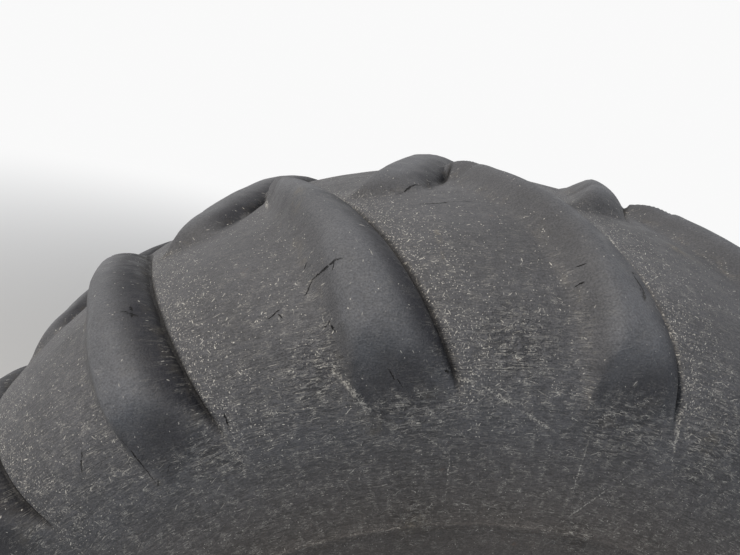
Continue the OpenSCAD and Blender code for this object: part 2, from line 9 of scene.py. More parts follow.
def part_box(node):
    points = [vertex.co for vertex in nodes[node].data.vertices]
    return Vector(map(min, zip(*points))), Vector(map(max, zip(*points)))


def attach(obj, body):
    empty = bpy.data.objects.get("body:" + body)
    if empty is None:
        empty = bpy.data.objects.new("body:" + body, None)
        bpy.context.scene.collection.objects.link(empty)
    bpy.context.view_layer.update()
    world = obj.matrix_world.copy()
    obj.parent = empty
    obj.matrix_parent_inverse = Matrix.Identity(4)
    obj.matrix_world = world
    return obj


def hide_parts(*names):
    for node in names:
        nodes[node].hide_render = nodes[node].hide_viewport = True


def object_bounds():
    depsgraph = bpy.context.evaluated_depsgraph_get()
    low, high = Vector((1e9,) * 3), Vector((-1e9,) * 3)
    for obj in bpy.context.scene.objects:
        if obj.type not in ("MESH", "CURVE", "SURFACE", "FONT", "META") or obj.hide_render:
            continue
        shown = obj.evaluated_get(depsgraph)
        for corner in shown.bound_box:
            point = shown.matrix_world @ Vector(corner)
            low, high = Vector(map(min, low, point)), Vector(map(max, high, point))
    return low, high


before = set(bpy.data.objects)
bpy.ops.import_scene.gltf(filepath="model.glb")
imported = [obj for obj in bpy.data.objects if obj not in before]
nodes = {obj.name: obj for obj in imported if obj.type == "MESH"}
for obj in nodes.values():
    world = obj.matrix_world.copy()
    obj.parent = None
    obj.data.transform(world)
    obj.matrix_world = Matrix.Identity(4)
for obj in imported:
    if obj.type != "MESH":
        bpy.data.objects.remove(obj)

from types import SimpleNamespace as Sizes

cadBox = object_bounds()
mm = 0.001
wheelMiddle = -0.4  # m along Y: the wheel's middle plane, outboard of the axle flange


# small helpers

def srgb(code, alpha=1.0):  # "#rrggbb" to linear
    out = []
    for i in (1, 3, 5):
        c = int(code[i:i + 2], 16) / 255
        out.append(c / 12.92 if c <= 0.04045 else ((c + 0.055) / 1.055) ** 2.4)
    return (*out, alpha)


def addNode(tree, kind, *values, **settings):
    # one shader node. A second word of its kind is its operation. Values come in the order of the
    # inputs or in a dictionary. A node given as a value is linked, and a hex colour turned to linear
    kind, *operation = kind.split()
    node = tree.nodes.new("ShaderNode" + kind)
    if operation:
        node.operation = operation[0]
    for name, value in settings.items():
        setattr(node, name, value)
    inputs = values[0] if values and isinstance(values[0], dict) else dict(enumerate(values))
    for name, value in inputs.items():
        if isinstance(value, bpy.types.Node):
            value = next(s for s in value.outputs if s.enabled)
        if isinstance(value, bpy.types.NodeSocket):
            tree.links.new(value, node.inputs[name])
        else:
            node.inputs[name].default_value = srgb(value) if isinstance(value, str) else value
    return node


def newMaterial(name):
    # a material, and the function that adds a node to it
    mat = bpy.data.materials.new(name)
    mat.use_nodes = True
    mat.node_tree.nodes.clear()
    return mat, partial(addNode, mat.node_tree)


def newObject(name, data):
    made = bpy.data.objects.new(name, data)
    bpy.context.scene.collection.objects.link(made)
    return made


def newMesh(name, co, faces):
    mesh = bpy.data.meshes.new(name)
    mesh.from_pydata(np.asarray(co).tolist(), [], faces)
    bm = bmesh.new()
    bm.from_mesh(mesh)
    bmesh.ops.recalc_face_normals(bm, faces=bm.faces)
    bm.to_mesh(mesh)
    bm.free()
    return newObject(name, mesh)


def newPiece(name, co, faces, body, material, node, sharpFrom):
    # a mesh that rides on a body and stands for a CAD node
    piece = newMesh(name, co, faces)
    piece.data.shade_smooth()
    piece.data.set_sharp_from_angle(angle=math.radians(sharpFrom))
    piece.data.materials.append(material)
    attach(piece, body)
    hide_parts(node)
    return piece


def setAttribute(piece, name, values):
    attribute = piece.data.attributes.new(name, "FLOAT", "POINT")
    attribute.data.foreach_set("value", np.asarray(values, np.float32).ravel())


# camera: the photo's own view, from above and outboard of the wheel, 740 x 555

cameraAt = {
    "forward": 0.421,   # m in front of the axle
    "outboard": 0.902,  # m outboard of the wheel's middle
    "up": 0.979,        # m above the axle
    "yaw": 7.29,        # degrees, turned to the rear of the machine
    "pitch": -19.06,    # degrees, looking down
    "roll": 18.18,      # degrees, the photographer's tilt
    "lens": 27.84,      # mm on a 36 mm sensor
}


def makeCamera(c):
    yaw, pitch, roll = (math.radians(c[k]) for k in ("yaw", "pitch", "roll"))
    look = Vector((math.sin(yaw) * math.cos(pitch), math.cos(yaw) * math.cos(pitch), math.sin(pitch)))
    side = look.cross(Vector((0, 0, 1))).normalized()
    top = side.cross(look)
    right = math.cos(roll) * side + math.sin(roll) * top
    up = -math.sin(roll) * side + math.cos(roll) * top
    data = bpy.data.cameras.new("camera")
    data.sensor_width = 36
    data.lens = c["lens"]
    data.clip_start = 0.02
    cam = newObject("camera", data)
    turn = Matrix((right, up, -look)).transposed()
    cam.matrix_world = Matrix.Translation(
        (-c["forward"], wheelMiddle - c["outboard"], c["up"])) @ turn.to_4x4()
    bpy.context.scene.camera = cam


makeCamera(cameraAt)
print("camera made")


# worn natural rubber: a moulded black tread, bleached grey by sun and polished by bark.
# Pale scuffs and grit lie in the grooves, dust at the lugs' feet, and the shoulder is scratched.

rubber = {
    "tread": "#5c5d60",
    "flank": "#2f3035",       # painted shade on the steep trailing sides and lug ends, which face away from the key light
    "deep": "#141416",        # painted shade inside cuts, cracks and the creases at the lugs' trailing feet
    "polished": "#65676b",    # worn lug tops
    "wall": "#5b5856",        # browner below the shoulder
    "scuff": "#d8d6ce",       # pale scratches and grit
    "dust": "#8b8577",        # dried mud
    "rust": "#94683f",        # a few orange marks
    "roundR": 900,            # mm: turns an angle into a distance round the tread
    "cloud": 120, "mottle": 26, "grain": 2.2,   # mm across one patch of each tone
    "grit": (3.6, 2.0, 0.65),       # mm: spacing, length and half width of the smallest flecks
    "fleck": (7.5, 3.8, 0.7),
    "scuffs": (17, 8.0, 0.7),
    "scratch": (13, 17, 0.34),
    "wrinkle": (15, 2.3),           # mm along and across a wrinkle
    "fold": (20, 3.8),
    "crack": 34,                    # mm between weather cracks
    "ragged": 9.0,                  # mm that a cut or a rubbed edge may stray from its line
    "roughness": (0.5, 0.78),
    "shine": 0.25,                  # weathered rubber reflects half of what smooth rubber does
}

# marks on the tread: degrees forward of the top, mm from the middle, mm long, degrees of turn, mm half wide
treadCuts = [
    (27.3, 292.5, 56, -5, 1.9), (29.0, 298, 24, 47, 1.2), (26.6, 297, 14, 60, 0.9),
    (29.0, 265, 12, 41, 1.0), (32.0, 321, 24, 20, 1.2), (31.5, 326, 10, -50, 1.0),
    (27.4, 353, 20, -66, 1.6), (27.9, 349, 9, 20, 1.2), (18.8, 409, 20, -40, 2.4),
    (23.3, 412, 16, -60, 0.9), (22.6, 421, 15, -52, 0.9), (43.5, 267, 27, -28, 2.0),
    (43.4, 264, 34, -75, 1.6), (51.6, 394, 34, 54, 1.2), (46.2, 458, 17, 36, 1.2),
    (44.4, 448, 17, 30, 1.6), (37.8, 423, 20, 88, 1.8), (46.2, 430, 72, 87, 1.3),
    (3.5, 316, 26, 78, 5.0), (3.6, 303, 22, -60, 2.2), (3.9, 291, 20, 20, 2.0), (7.9, 289, 11, 7, 1.0),
    (8.0, 310, 10, 23, 1.0), (19.9, 76, 64, 36, 1.6), (17.1, 138, 112, 12, 1.3),
]
rubbedEdges = [
    (17.1, 422, 34, -8, 2.6), (14.3, 438, 70, -25, 3.2), (10.4, 465, 76, -22, 3.4),
    (26.6, 424, 84, -54, 6.0), (2.9, 205, 118, -84, 2.2), (-2.4, 445, 84, -69, 3.4),
    (34.2, 0, 110, -78, 4.0), (18.5, 539, 80, 85, 1.7), (5.0, 518, 100, -82, 1.7),
    (2.7, 570, 180, 49, 1.5),
]
wavyPatches = [  # folded and rubbed into fine waves
    (2.8, 458, 190, 4, 58), (22.0, 458, 170, 0, 42), (13.0, 380, 130, -20, 60),
    (29.5, 395, 110, -10, 55), (40.2, 460, 120, -20, 40), (1.5, 620, 130, -20, 36),
    (-6.4, 450, 150, -60, 60), (22.5, 596, 120, 10, 34),
]
dustyPatches = [
    (29.5, 140, 84, 88, 15), (9.0, 60, 150, -55, 20), (-5.0, 150, 100, -60, 22),
    (18.3, 243, 100, 90, 6), (22.4, 612, 80, 20, 20), (-5.6, 445, 70, -55, 18),
]


def inMm(add):
    place = add("TexCoord").outputs["Object"]
    return add("VectorMath SCALE", {0: place, 3: 1000.0})


def patchy(add, m, solid, table):
    # noise in patches of several sizes: which size in mm, its detail and its roughness
    return [add("TexNoise", {"Vector": solid, "Scale": 1 / m[size], "Detail": detail, "Roughness": rough})
            for size, detail, rough in table]


def roundAndAcross(add, roundR):
    # the tread unrolled, in mm: round the tyre from the top, then across from the middle
    place = add("SeparateXYZ", add("TexCoord").outputs["Object"])
    back = add("Math MULTIPLY", place.outputs[0], -1.0)
    angle = add("Math ARCTAN2", back, place.outputs[2])
    along = add("Math MULTIPLY", angle, roundR)
    across = add("Attribute", attribute_name="across").outputs["Fac"]
    across = add("Math MULTIPLY", across, 1000.0)
    return add("CombineXYZ", along, across), across


def marked(add, flat, roundR, marks, hard):
    # 1 inside a few long narrow marks, 0 outside
    mask = None
    for turn, distance, length, angle, halfWide in marks:
        local = add("Mapping", {
            "Vector": flat, "Location": (math.radians(turn) * roundR, distance, 0.0),
            "Rotation": (0.0, 0.0, math.radians(angle)), "Scale": (length / 2, halfWide, 1.0)},
            vector_type="TEXTURE")
        lens = add("TexGradient", local, gradient_type="SPHERICAL").outputs["Fac"]
        lens = add("MapRange", lens, 0.0, hard)
        mask = add("Math MAXIMUM", mask, lens) if mask else lens
    return mask


def dashes(add, flat, spacing, length, halfWide, share, turned=math.pi):
    # one short stroke in each cell, turned at random within an angle. share is how many cells have one
    cell = add("TexVoronoi", {"Vector": flat, "Scale": 1 / spacing}, voronoi_dimensions="2D")
    local = add("VectorMath SUBTRACT", flat, cell.outputs["Position"])
    draw = add("SeparateColor", cell.outputs["Color"])
    angle = add("Math MULTIPLY_ADD", draw.outputs[0], turned, -turned / 2)
    local = add("VectorRotate", {"Vector": local, "Angle": angle}, rotation_type="Z_AXIS")
    local = add("VectorMath MULTIPLY", local, (2 / length, 1 / halfWide, 0.0))
    far = add("VectorMath LENGTH", local).outputs["Value"]
    stroke = add("MapRange", far, 1.0, 0.55)
    kept = add("Math LESS_THAN", draw.outputs[1], share)
    faint = add("Math POWER", draw.outputs[2], 2.0)
    faint = add("Math MULTIPLY_ADD", faint, 0.9, 0.1)
    stroke = add("Math MULTIPLY", stroke, kept)
    return add("Math MULTIPLY", stroke, faint)


def wornRubber(m):
    mat, add = newMaterial("worn natural rubber, moulded")
    flat, across = roundAndAcross(add, m["roundR"])
    solid = inMm(add)
    rise, crease, grit, steep = (
        add("Attribute", attribute_name=name).outputs["Fac"]
        for name in ("rise", "crease", "grit", "steep"))
    out = add("Math ABSOLUTE", across)

    cloud, mottle, grain = patchy(add, m, solid, (
        ("cloud", 3.0, 0.5), ("mottle", 4.0, 0.62), ("grain", 2.0, 0.5)))

    # where things lie: 1 in a groove, on a lug's top, at a lug's foot, on the shoulder, on the wall
    top = add("MapRange", rise, 0.55, 0.95, interpolation_type="SMOOTHSTEP")
    groove = add("MapRange", rise, 0.5, 0.08)
    footIn = add("MapRange", rise, 0.0, 0.08)
    footOut = add("MapRange", rise, 0.42, 0.12)
    foot = add("Math MULTIPLY", footIn, footOut)
    shoulder = add("MapRange", out, 330.0, 430.0)
    wall = add("MapRange", out, 470.0, 600.0)
    low = add("MapRange", out, 640.0, 700.0)

    plain = add("MapRange", rise, 0.1, 0.5, 1.0, 0.25)  # fewer scratches and wrinkles on a lug

    # a ragged copy of the unrolled tread, for cuts and rubbed edges
    warp = add("TexNoise", {"Vector": flat, "Scale": 0.07, "Detail": 5.0, "Roughness": 0.68})
    warp = add("VectorMath SUBTRACT", warp.outputs["Color"], (0.5, 0.5, 0.5))
    warp = add("VectorMath SCALE", {0: warp, 3: m["ragged"]})
    warped = add("VectorMath ADD", warp, flat)
    ragged = add("VectorMath SCALE", {0: warp, 3: 0.5})
    ragged = add("VectorMath ADD", ragged, flat)
    rubbed, wavy, cut, dusted = (
        marked(add, warped, m["roundR"], marks, hard) for marks, hard in (
            (rubbedEdges, 0.8), (wavyPatches, 0.7), (treadCuts, 0.4), (dustyPatches, 0.9)))

    # strokes: many in the grooves and most behind a lug, few on the lugs
    where = add("MapRange", mottle, 0.42, 0.60, 0.12, 1.1)
    tread = add("MapRange", out, 400.0, 520.0, 0.2, 0.05)
    share = add("Math MULTIPLY_ADD", groove, tread, 0.04)
    share = add("Math MULTIPLY", share, where)
    share = add("Math MULTIPLY_ADD", grit, 1.0, share)
    share = add("Math MULTIPLY_ADD", rubbed, 0.5, share)
    flecks, scuffs, specks = (dashes(add, ragged, *m[size], share) for size in ("fleck", "scuffs", "grit"))
    share = add("MapRange", out, 470.0, 620.0, 0.22, 0.03)
    share = add("Math MULTIPLY_ADD", share, shoulder, 0.02)
    share = add("Math MULTIPLY", share, plain)
    share = add("Math MULTIPLY_ADD", wavy, 0.55, share)
    scratches = dashes(add, ragged, *m["scratch"], share, 1.1)
    strokes = flecks
    for more in (scuffs, specks, scratches):
        strokes = add("Math MAXIMUM", strokes, more)

    # wrinkles and folds, drawn out round the tyre
    waves = []
    for (long, wide), detail, bent in ((m["wrinkle"], 4.0, 1.4), (m["fold"], 3.0, 1.2)):
        drawn = add("VectorMath MULTIPLY", flat, (1 / long, 1 / wide, 1.0))
        waves.append(add("TexNoise", {"Vector": drawn, "Scale": 1.0, "Detail": detail, "Distortion": bent}))
    wrinkle, fold = waves
    wrinkled = add("MapRange", out, 200.0, 440.0, 0.2, 0.8)
    smooth = add("MapRange", out, 600.0, 720.0, 1.0, 0.15)
    for less in (plain, smooth):
        wrinkled = add("Math MULTIPLY", wrinkled, less)
    wrinkled = add("Math ADD", wrinkled, wavy)
    pale = add("MapRange", wrinkle, 0.58, 0.74)
    pale = add("Math MULTIPLY", pale, wrinkled)

    # thin pale lines, where folds have rubbed against bark
    line = add("Math SUBTRACT", fold, 0.5)
    line = add("Math ABSOLUTE", line)
    line = add("MapRange", line, 0.028, 0.0)
    lined = add("TexNoise", {"Vector": flat, "Scale": 1 / 16, "Detail": 3.0})
    lined = add("MapRange", lined, 0.48, 0.60)
    line = add("Math MULTIPLY", line, lined)
    line = add("Math MULTIPLY", line, wrinkled)

    # weather cracks and the cuts
    split = add("TexVoronoi", {"Vector": warped, "Scale": 1 / m["crack"]},
                voronoi_dimensions="2D", feature="DISTANCE_TO_EDGE")
    split = add("MapRange", split, 0.02, 0.0)
    cracked = add("MapRange", cloud, 0.58, 0.68)
    cracked = add("Math MULTIPLY", cracked, low)
    split = add("Math MULTIPLY", split, cracked)
    split = add("Math MAXIMUM", split, cut)

    # colour, from the mould outward
    # painted shade: the steep trailing sides and lug ends are darkened, less so where the rubber is rubbed
    # into waves
    side = add("MapRange", steep, 0.2, 1.0, interpolation_type="SMOOTHSTEP")
    worn = add("Math MULTIPLY_ADD", wavy, -0.85, 1.0)
    side = add("Math MULTIPLY", side, worn)
    tone = m["tread"]
    for share, coat in ((top, "polished"), (side, "flank"), (wall, "wall")):
        tone = add("Mix", {0: share, 6: tone, 7: m[coat]}, data_type="RGBA")
    shade = add("MapRange", cloud, 0.3, 0.7, 0.84, 1.14)
    speck = add("MapRange", grain, 0.3, 0.7, 0.74, 1.24)
    patch = add("MapRange", mottle, 0.3, 0.7, 0.86, 1.12)
    # painted shade and light on the folds: their hollows darker and their crests lighter, in step with the
    # folds' bump
    crest = add("MapRange", fold, 0.38, 0.64, -0.2, 0.22)
    crest = add("Math MULTIPLY_ADD", crest, wrinkled, 1.0)
    for more in (speck, patch, crest):
        shade = add("Math MULTIPLY", shade, more)
    tone = add("VectorMath SCALE", {0: tone, 3: shade})
    dusty = add("MapRange", mottle, 0.5, 0.68)
    for less in (foot, 0.2):
        dusty = add("Math MULTIPLY", dusty, less)
    thin = add("MapRange", mottle, 0.40, 0.62, 0.0, 0.6)
    dusted = add("Math MULTIPLY", dusted, thin)
    dusty = add("Math MAXIMUM", dusty, dusted)
    rusty = add("TexNoise", {"Vector": solid, "Scale": 1 / 60, "Detail": 6.0, "Roughness": 0.7})
    rusty = add("MapRange", rusty, 0.68, 0.78, 0.0, 0.4)
    crest = add("MapRange", fold, 0.54, 0.7, 0.0, 1.1)
    pale = add("Math MULTIPLY_ADD", crest, wavy, pale)
    pale = add("Math MULTIPLY", pale, 0.34)
    thin = add("MapRange", grain, 0.4, 0.6, 0.0, 1.2)
    rubbed = add("Math MULTIPLY", rubbed, thin)
    line = add("Math ADD", rubbed, line)
    strokes = add("Math MULTIPLY_ADD", line, 0.7, strokes, use_clamp=True)
    # painted shade: cuts, weather cracks and the creases along trailing feet are darkened nearly to black
    paintedShadeInCuts = add("Math MAXIMUM", split, crease)
    coats = (dusty, "dust"), (rusty, "rust"), (pale, "scuff"), (strokes, "scuff"), (paintedShadeInCuts, "deep")
    for share, coat in coats:
        tone = add("Mix", {0: share, 6: tone, 7: m[coat]}, data_type="RGBA")

    # height in mm, for the bump
    folds = add("Math MULTIPLY_ADD", fold, 1.7, wrinkle)
    folds = add("Math MULTIPLY", folds, wrinkled)
    height = add("Math MULTIPLY", grain, 1.1)
    for form, deep in ((mottle, 3.4), (folds, 1.4), (split, -2.2)):
        height = add("Math MULTIPLY_ADD", form, deep, height)
    bump = add("Bump", {"Height": height, "Distance": mm, "Strength": 0.8})

    rough = add("MapRange", mottle, 0.35, 0.65, *m["roughness"])
    add("OutputMaterial", {"Surface": add("BsdfPrincipled", {
        "Base Color": tone, "Roughness": rough, "Normal": bump, "Specular IOR Level": m["shine"]})})
    return mat


# the tyre: an old forestry tyre with two rows of slanting lugs, worn round by use

tyre = {
    "lugsPerSide": 18,
    "lugH": 40 * mm,        # worn height
    "lugW": 138 * mm,       # foot to foot round the crown, at the shoulder
    "noseW": 92 * mm,       # the same at the crown's middle
    "stagger": 0.39,        # share of a pitch by which the far row's lugs lie ahead of the near row's
    "crestRun": 64 * mm,    # from the trailing foot to the crest
    "flankPower": 2.1,      # a flank at 50 degrees that turns slowly into the crest
    "leadRun": (46 * mm, 66 * mm, 34 * mm),   # worn slope on the leading side: crown, middle, shoulder
    "noseEnd": 80 * mm,     # how far a lug's foot passes the middle of the crown
    "noseRun": 62 * mm,
    "shoulderEnd": 442 * mm,
    "shoulderSlant": 62 * mm,   # how much further out a lug's leading side ends
    "shoulderRun": (84 * mm, 140 * mm),   # slope of a lug's end, at its trailing and its leading side
    "creaseDeep": 6 * mm,   # crease along the trailing foot
    "creaseWide": 5 * mm,
    "barAngle": 23,         # degrees to the axle, at the crown
    "shoulderBarAngle": 18,
    "treadTurn": 8.3,       # degrees from the top to a trailing foot at the crown
    "flatness": 3.0,
    "fullness": 2.2,
    "sidewall": 22 * mm,
    "treadThick": 48 * mm,
    "seed": 11,
    "ringR": (0.545, 0.470),   # m: two moulded rings on the sidewall
}
tyre = Sizes(**tyre)  # read as tyre.lugH

# the lugs in the photo, by number round the tyre: mm that the trailing foot is shifted forward at the
# crown, halfway and at the shoulder, mm more of height, how much more the trailing side is worn round,
# and mm more of width at the nose
nearLugs = {0: (12, 12, 0, 0, 1.7, 12), 1: (8, 6, -6, 0, 1.0, 0), 2: (2, 6, 10, 0, 1.0, 0)}
farLugs = {
    17: (0, 0, 0, -6, 1.2, 16), 0: (0, 0, 0, -14, 1.3, 34), 1: (0, 0, 0, -12, 1.1, 20),
    2: (0, 0, 0, -20, 1.0, 2),
}


def smoothStep(a, b, x):
    t = np.clip((x - a) / (b - a), 0, 1)
    return t * t * (3 - 2 * t)


lo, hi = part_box("tyre")
casingHalf = (hi.y - lo.y) / 2
crownR = (hi.x - lo.x) / 2 - tyre.lugH
rimLo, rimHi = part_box("rim")
flangeR = (rimHi.z - rimLo.z) / 2
beadR = flangeR - 25.4 * mm
beadHalf = 342.7 * mm
widestR = 679 * mm
crownSteps = 500  # points from the crown to the widest part
pitch = 2 * math.pi / tyre.lugsPerSide


def sectionLine():
    # the casing's outside from the crown down to the bead's heel, as y and r, by small steps
    y = casingHalf * np.sin(np.linspace(0, math.pi / 2, crownSteps))
    r = widestR + (crownR - widestR) * np.clip(
        1 - (y / casingHalf) ** tyre.flatness, 0, 1) ** (1 / tyre.fullness)
    # lower sidewall: a slow curve in to the rim, with the rim guard's bulge above the flange
    r2 = np.linspace(widestR, flangeR + 6 * mm, 260)[1:]
    fall = (widestR - r2) / (widestR - flangeR)
    y2 = casingHalf - (casingHalf - beadHalf - 4 * mm) * fall ** 2.2
    y2 += 9 * mm * np.exp(-((r2 - flangeR - 26 * mm) / (13 * mm)) ** 2)
    for ringR in tyre.ringR:
        y2 += 1.8 * mm * np.exp(-((r2 - ringR) / (3.2 * mm)) ** 4)
    y2 = np.minimum(y2, casingHalf)
    y3 = np.array([beadHalf, beadHalf])
    r3 = np.array([flangeR + 1 * mm, beadR + 1 * mm])
    y, r = np.concatenate([y, y2, y3]), np.concatenate([r, r2, r3])
    s = np.concatenate([[0], np.cumsum(np.hypot(np.diff(y), np.diff(r)))])
    return y, r, s


secY, secR, secS = sectionLine()
wallR, wallS = secR[crownSteps - 1:], secS[crownSteps - 1:]
ringS = [float(np.interp(-ringR, -wallR, wallS)) for ringR in tyre.ringR]
slopeY, slopeR = np.gradient(secY, secS), np.gradient(secR, secS)


def leanAt(sigma):
    # how far a lug's line has leant at a distance across the tread, in radians. Negative is backward.
    # It turns from one angle to the other over bendRun, up to bendEnd
    bendRun, bendEnd = 0.345, 0.44
    a, b = (math.tan(math.radians(angle)) for angle in (tyre.barAngle, tyre.shoulderBarAngle))
    out = np.clip(sigma, 0, bendEnd)
    return -(a * np.minimum(sigma, out) - (a - b) * out ** 2 / (2 * bendRun)) / crownR


draws = np.random.default_rng(tyre.seed)
eachLug = (2, tyre.lugsPerSide)
lugShift = draws.normal(0, 3.0, (*eachLug, 3)) * mm
lugTall = draws.uniform(-3.0, 0, eachLug) * mm
lugRound = draws.uniform(0.85, 1.35, eachLug)
lugNose = draws.uniform(-4.0, 12.0, eachLug) * mm
for row, table in ((0, nearLugs), (1, farLugs)):
    for number, (*shifts, tall, softer, nose) in table.items():
        lugShift[row, number] = np.array(shifts) * mm
        lugTall[row, number] = tall * mm
        lugRound[row, number] = softer
        lugNose[row, number] = nose * mm


def lugForm(theta, sigma, hand):
    # height of this row's lugs as a share, how near a point lies to the crease at a trailing foot,
    # and how much grit lies behind that foot
    t = tyre
    row = 0 if hand > 0 else 1
    turn = theta - math.radians(t.treadTurn) - (0 if hand > 0 else pitch * t.stagger) - leanAt(sigma)
    number = np.mod(np.floor(turn / pitch + 0.25).astype(int), t.lugsPerSide)
    x = (np.mod(turn + 0.25 * pitch, pitch) - 0.25 * pitch) * crownR
    inner, outer = np.clip(sigma / 0.2, 0, 1), np.clip(sigma / 0.2 - 1, 0, 1)
    shifts = lugShift[row, number]
    shift = shifts[:, 0] * (1 - inner) + shifts[:, 1] * (inner - outer) + shifts[:, 2] * outer
    x = x - shift
    arch = t.crestRun * (1 + (lugRound[row, number] - 1) * smoothStep(0.38, 0.30, sigma))
    left = 1 - np.clip(x / arch, 0, 1)
    trail = 0.3 * np.sqrt(1 - left ** 2) + 0.7 * (1 - left ** t.flankPower)
    noseW = t.noseW + lugNose[row, number]
    width = noseW + (t.lugW - noseW) * np.sqrt(np.clip(sigma / 0.43, 0, 1.1))
    leadRun = np.interp(sigma, (0.02, 0.24, 0.42), t.leadRun)
    lead = smoothStep(0, 1, (width - shift - x) / leadRun)
    along = np.clip((sigma + t.noseEnd + 0.12 * (x - 0.05)) / t.noseRun, 0, 1)
    nose = np.sqrt(np.clip(1 - (1 - along) ** 2, 0, 1))
    forward = np.clip(x / width, 0, 1)
    endAt = t.shoulderEnd + t.shoulderSlant * forward ** 2
    end = np.clip((endAt - sigma) / np.interp(forward, (0, 1), t.shoulderRun), 0, 1)
    end = 1 - (1 - 0.4 * end - 0.6 * smoothStep(0, 1, end)) ** 1.6
    share = trail * lead * nose * end
    inside = smoothStep(-t.noseEnd - 0.01, -t.noseEnd + 0.03, sigma) * smoothStep(0.46, 0.41, sigma)
    far = smoothStep(0.03, -0.05, sigma)  # shallow and wide where it passes the crown's middle
    crease = np.exp(-((x + 1.5 * mm) / (t.creaseWide * (1 + 1.6 * far))) ** 2) * inside * (1 - 0.5 * far)
    grit = np.exp(x / (45 * mm)) * (x < 0) * smoothStep(0.0, 0.06, sigma) * smoothStep(0.5, 0.4, sigma)
    return share, crease, grit, number


def steepness(theta, sigma, hand):
    # how steeply a lug's trailing side and its end rise from the casing there, 1 at 45 degrees
    step = 3 * mm
    scale = tyre.lugH / (2 * step)
    fall = lugForm(theta, sigma - step, hand)[0] - lugForm(theta, sigma + step, hand)[0]
    along = lugForm(theta + step / crownR, sigma, hand)[0] - lugForm(theta - step / crownR, sigma, hand)[0]
    ending = 1.3 * np.maximum(fall, 0) * smoothStep(0.34, 0.40, sigma)
    return np.hypot(ending, np.maximum(along, 0)) * scale


def columnAngles():
    # columns round the tyre: close together where the photo looks and at the lugs' trailing feet
    near = 11 * mm / crownR
    marks = []
    for k in range(tyre.lugsPerSide):
        for share, length in ((0, tyre.stagger), (tyre.stagger, 1 - tyre.stagger)):
            foot = (k + share) * pitch + math.radians(tyre.treadTurn)
            middle = math.degrees((foot + math.pi) % (2 * math.pi) - math.pi)
            seen = -28 < middle < 70
            fine, coarse = (12, round(40 * length)) if seen else (5, 2 * round(7 * length) + 1)
            marks += list(foot - near + np.linspace(0, 2 * near, fine, endpoint=False))
            marks += list(foot + near + np.linspace(0, length * pitch - 2 * near, coarse, endpoint=False))
    marks = np.sort(np.array(marks))
    return marks[:len(marks) // 4 * 4]


def rowStations():
    # rows across one side of the casing's outside, from the crown to the bead's heel
    last = secS[-1]
    footFrom = last - 0.06
    rings = np.concatenate([s + np.array([-5, -2.5, 0, 2.5, 5]) * mm for s in ringS])
    shared = [rings, np.linspace(footFrom, last, 8)]
    near = [np.arange(0, 0.49, 0.0072), np.arange(0.49, footFrom, 0.018)]
    far = [np.arange(0.125, 0.46, 0.0115), np.arange(0.46, footFrom, 0.02)]
    return np.sort(np.concatenate(near + shared)), np.sort(np.concatenate(far + shared))


def joinRings(a, b):
    # faces between two rings of points that have the same count, or one has twice as many
    if len(a) == len(b):
        return [(a[i - 1], a[i], b[i], b[i - 1]) for i in range(len(a))]
    if len(a) < len(b):
        return [tuple(reversed(f)) for f in joinRings(b, a)]
    faces = []
    for i in range(len(b)):
        j, k = 2 * i, (2 * i + 2) % len(a)
        nextB = b[(i + 1) % len(b)]
        faces += [(a[j], a[j + 1], b[i]), (a[j + 1], a[k], nextB, b[i])]
    return faces


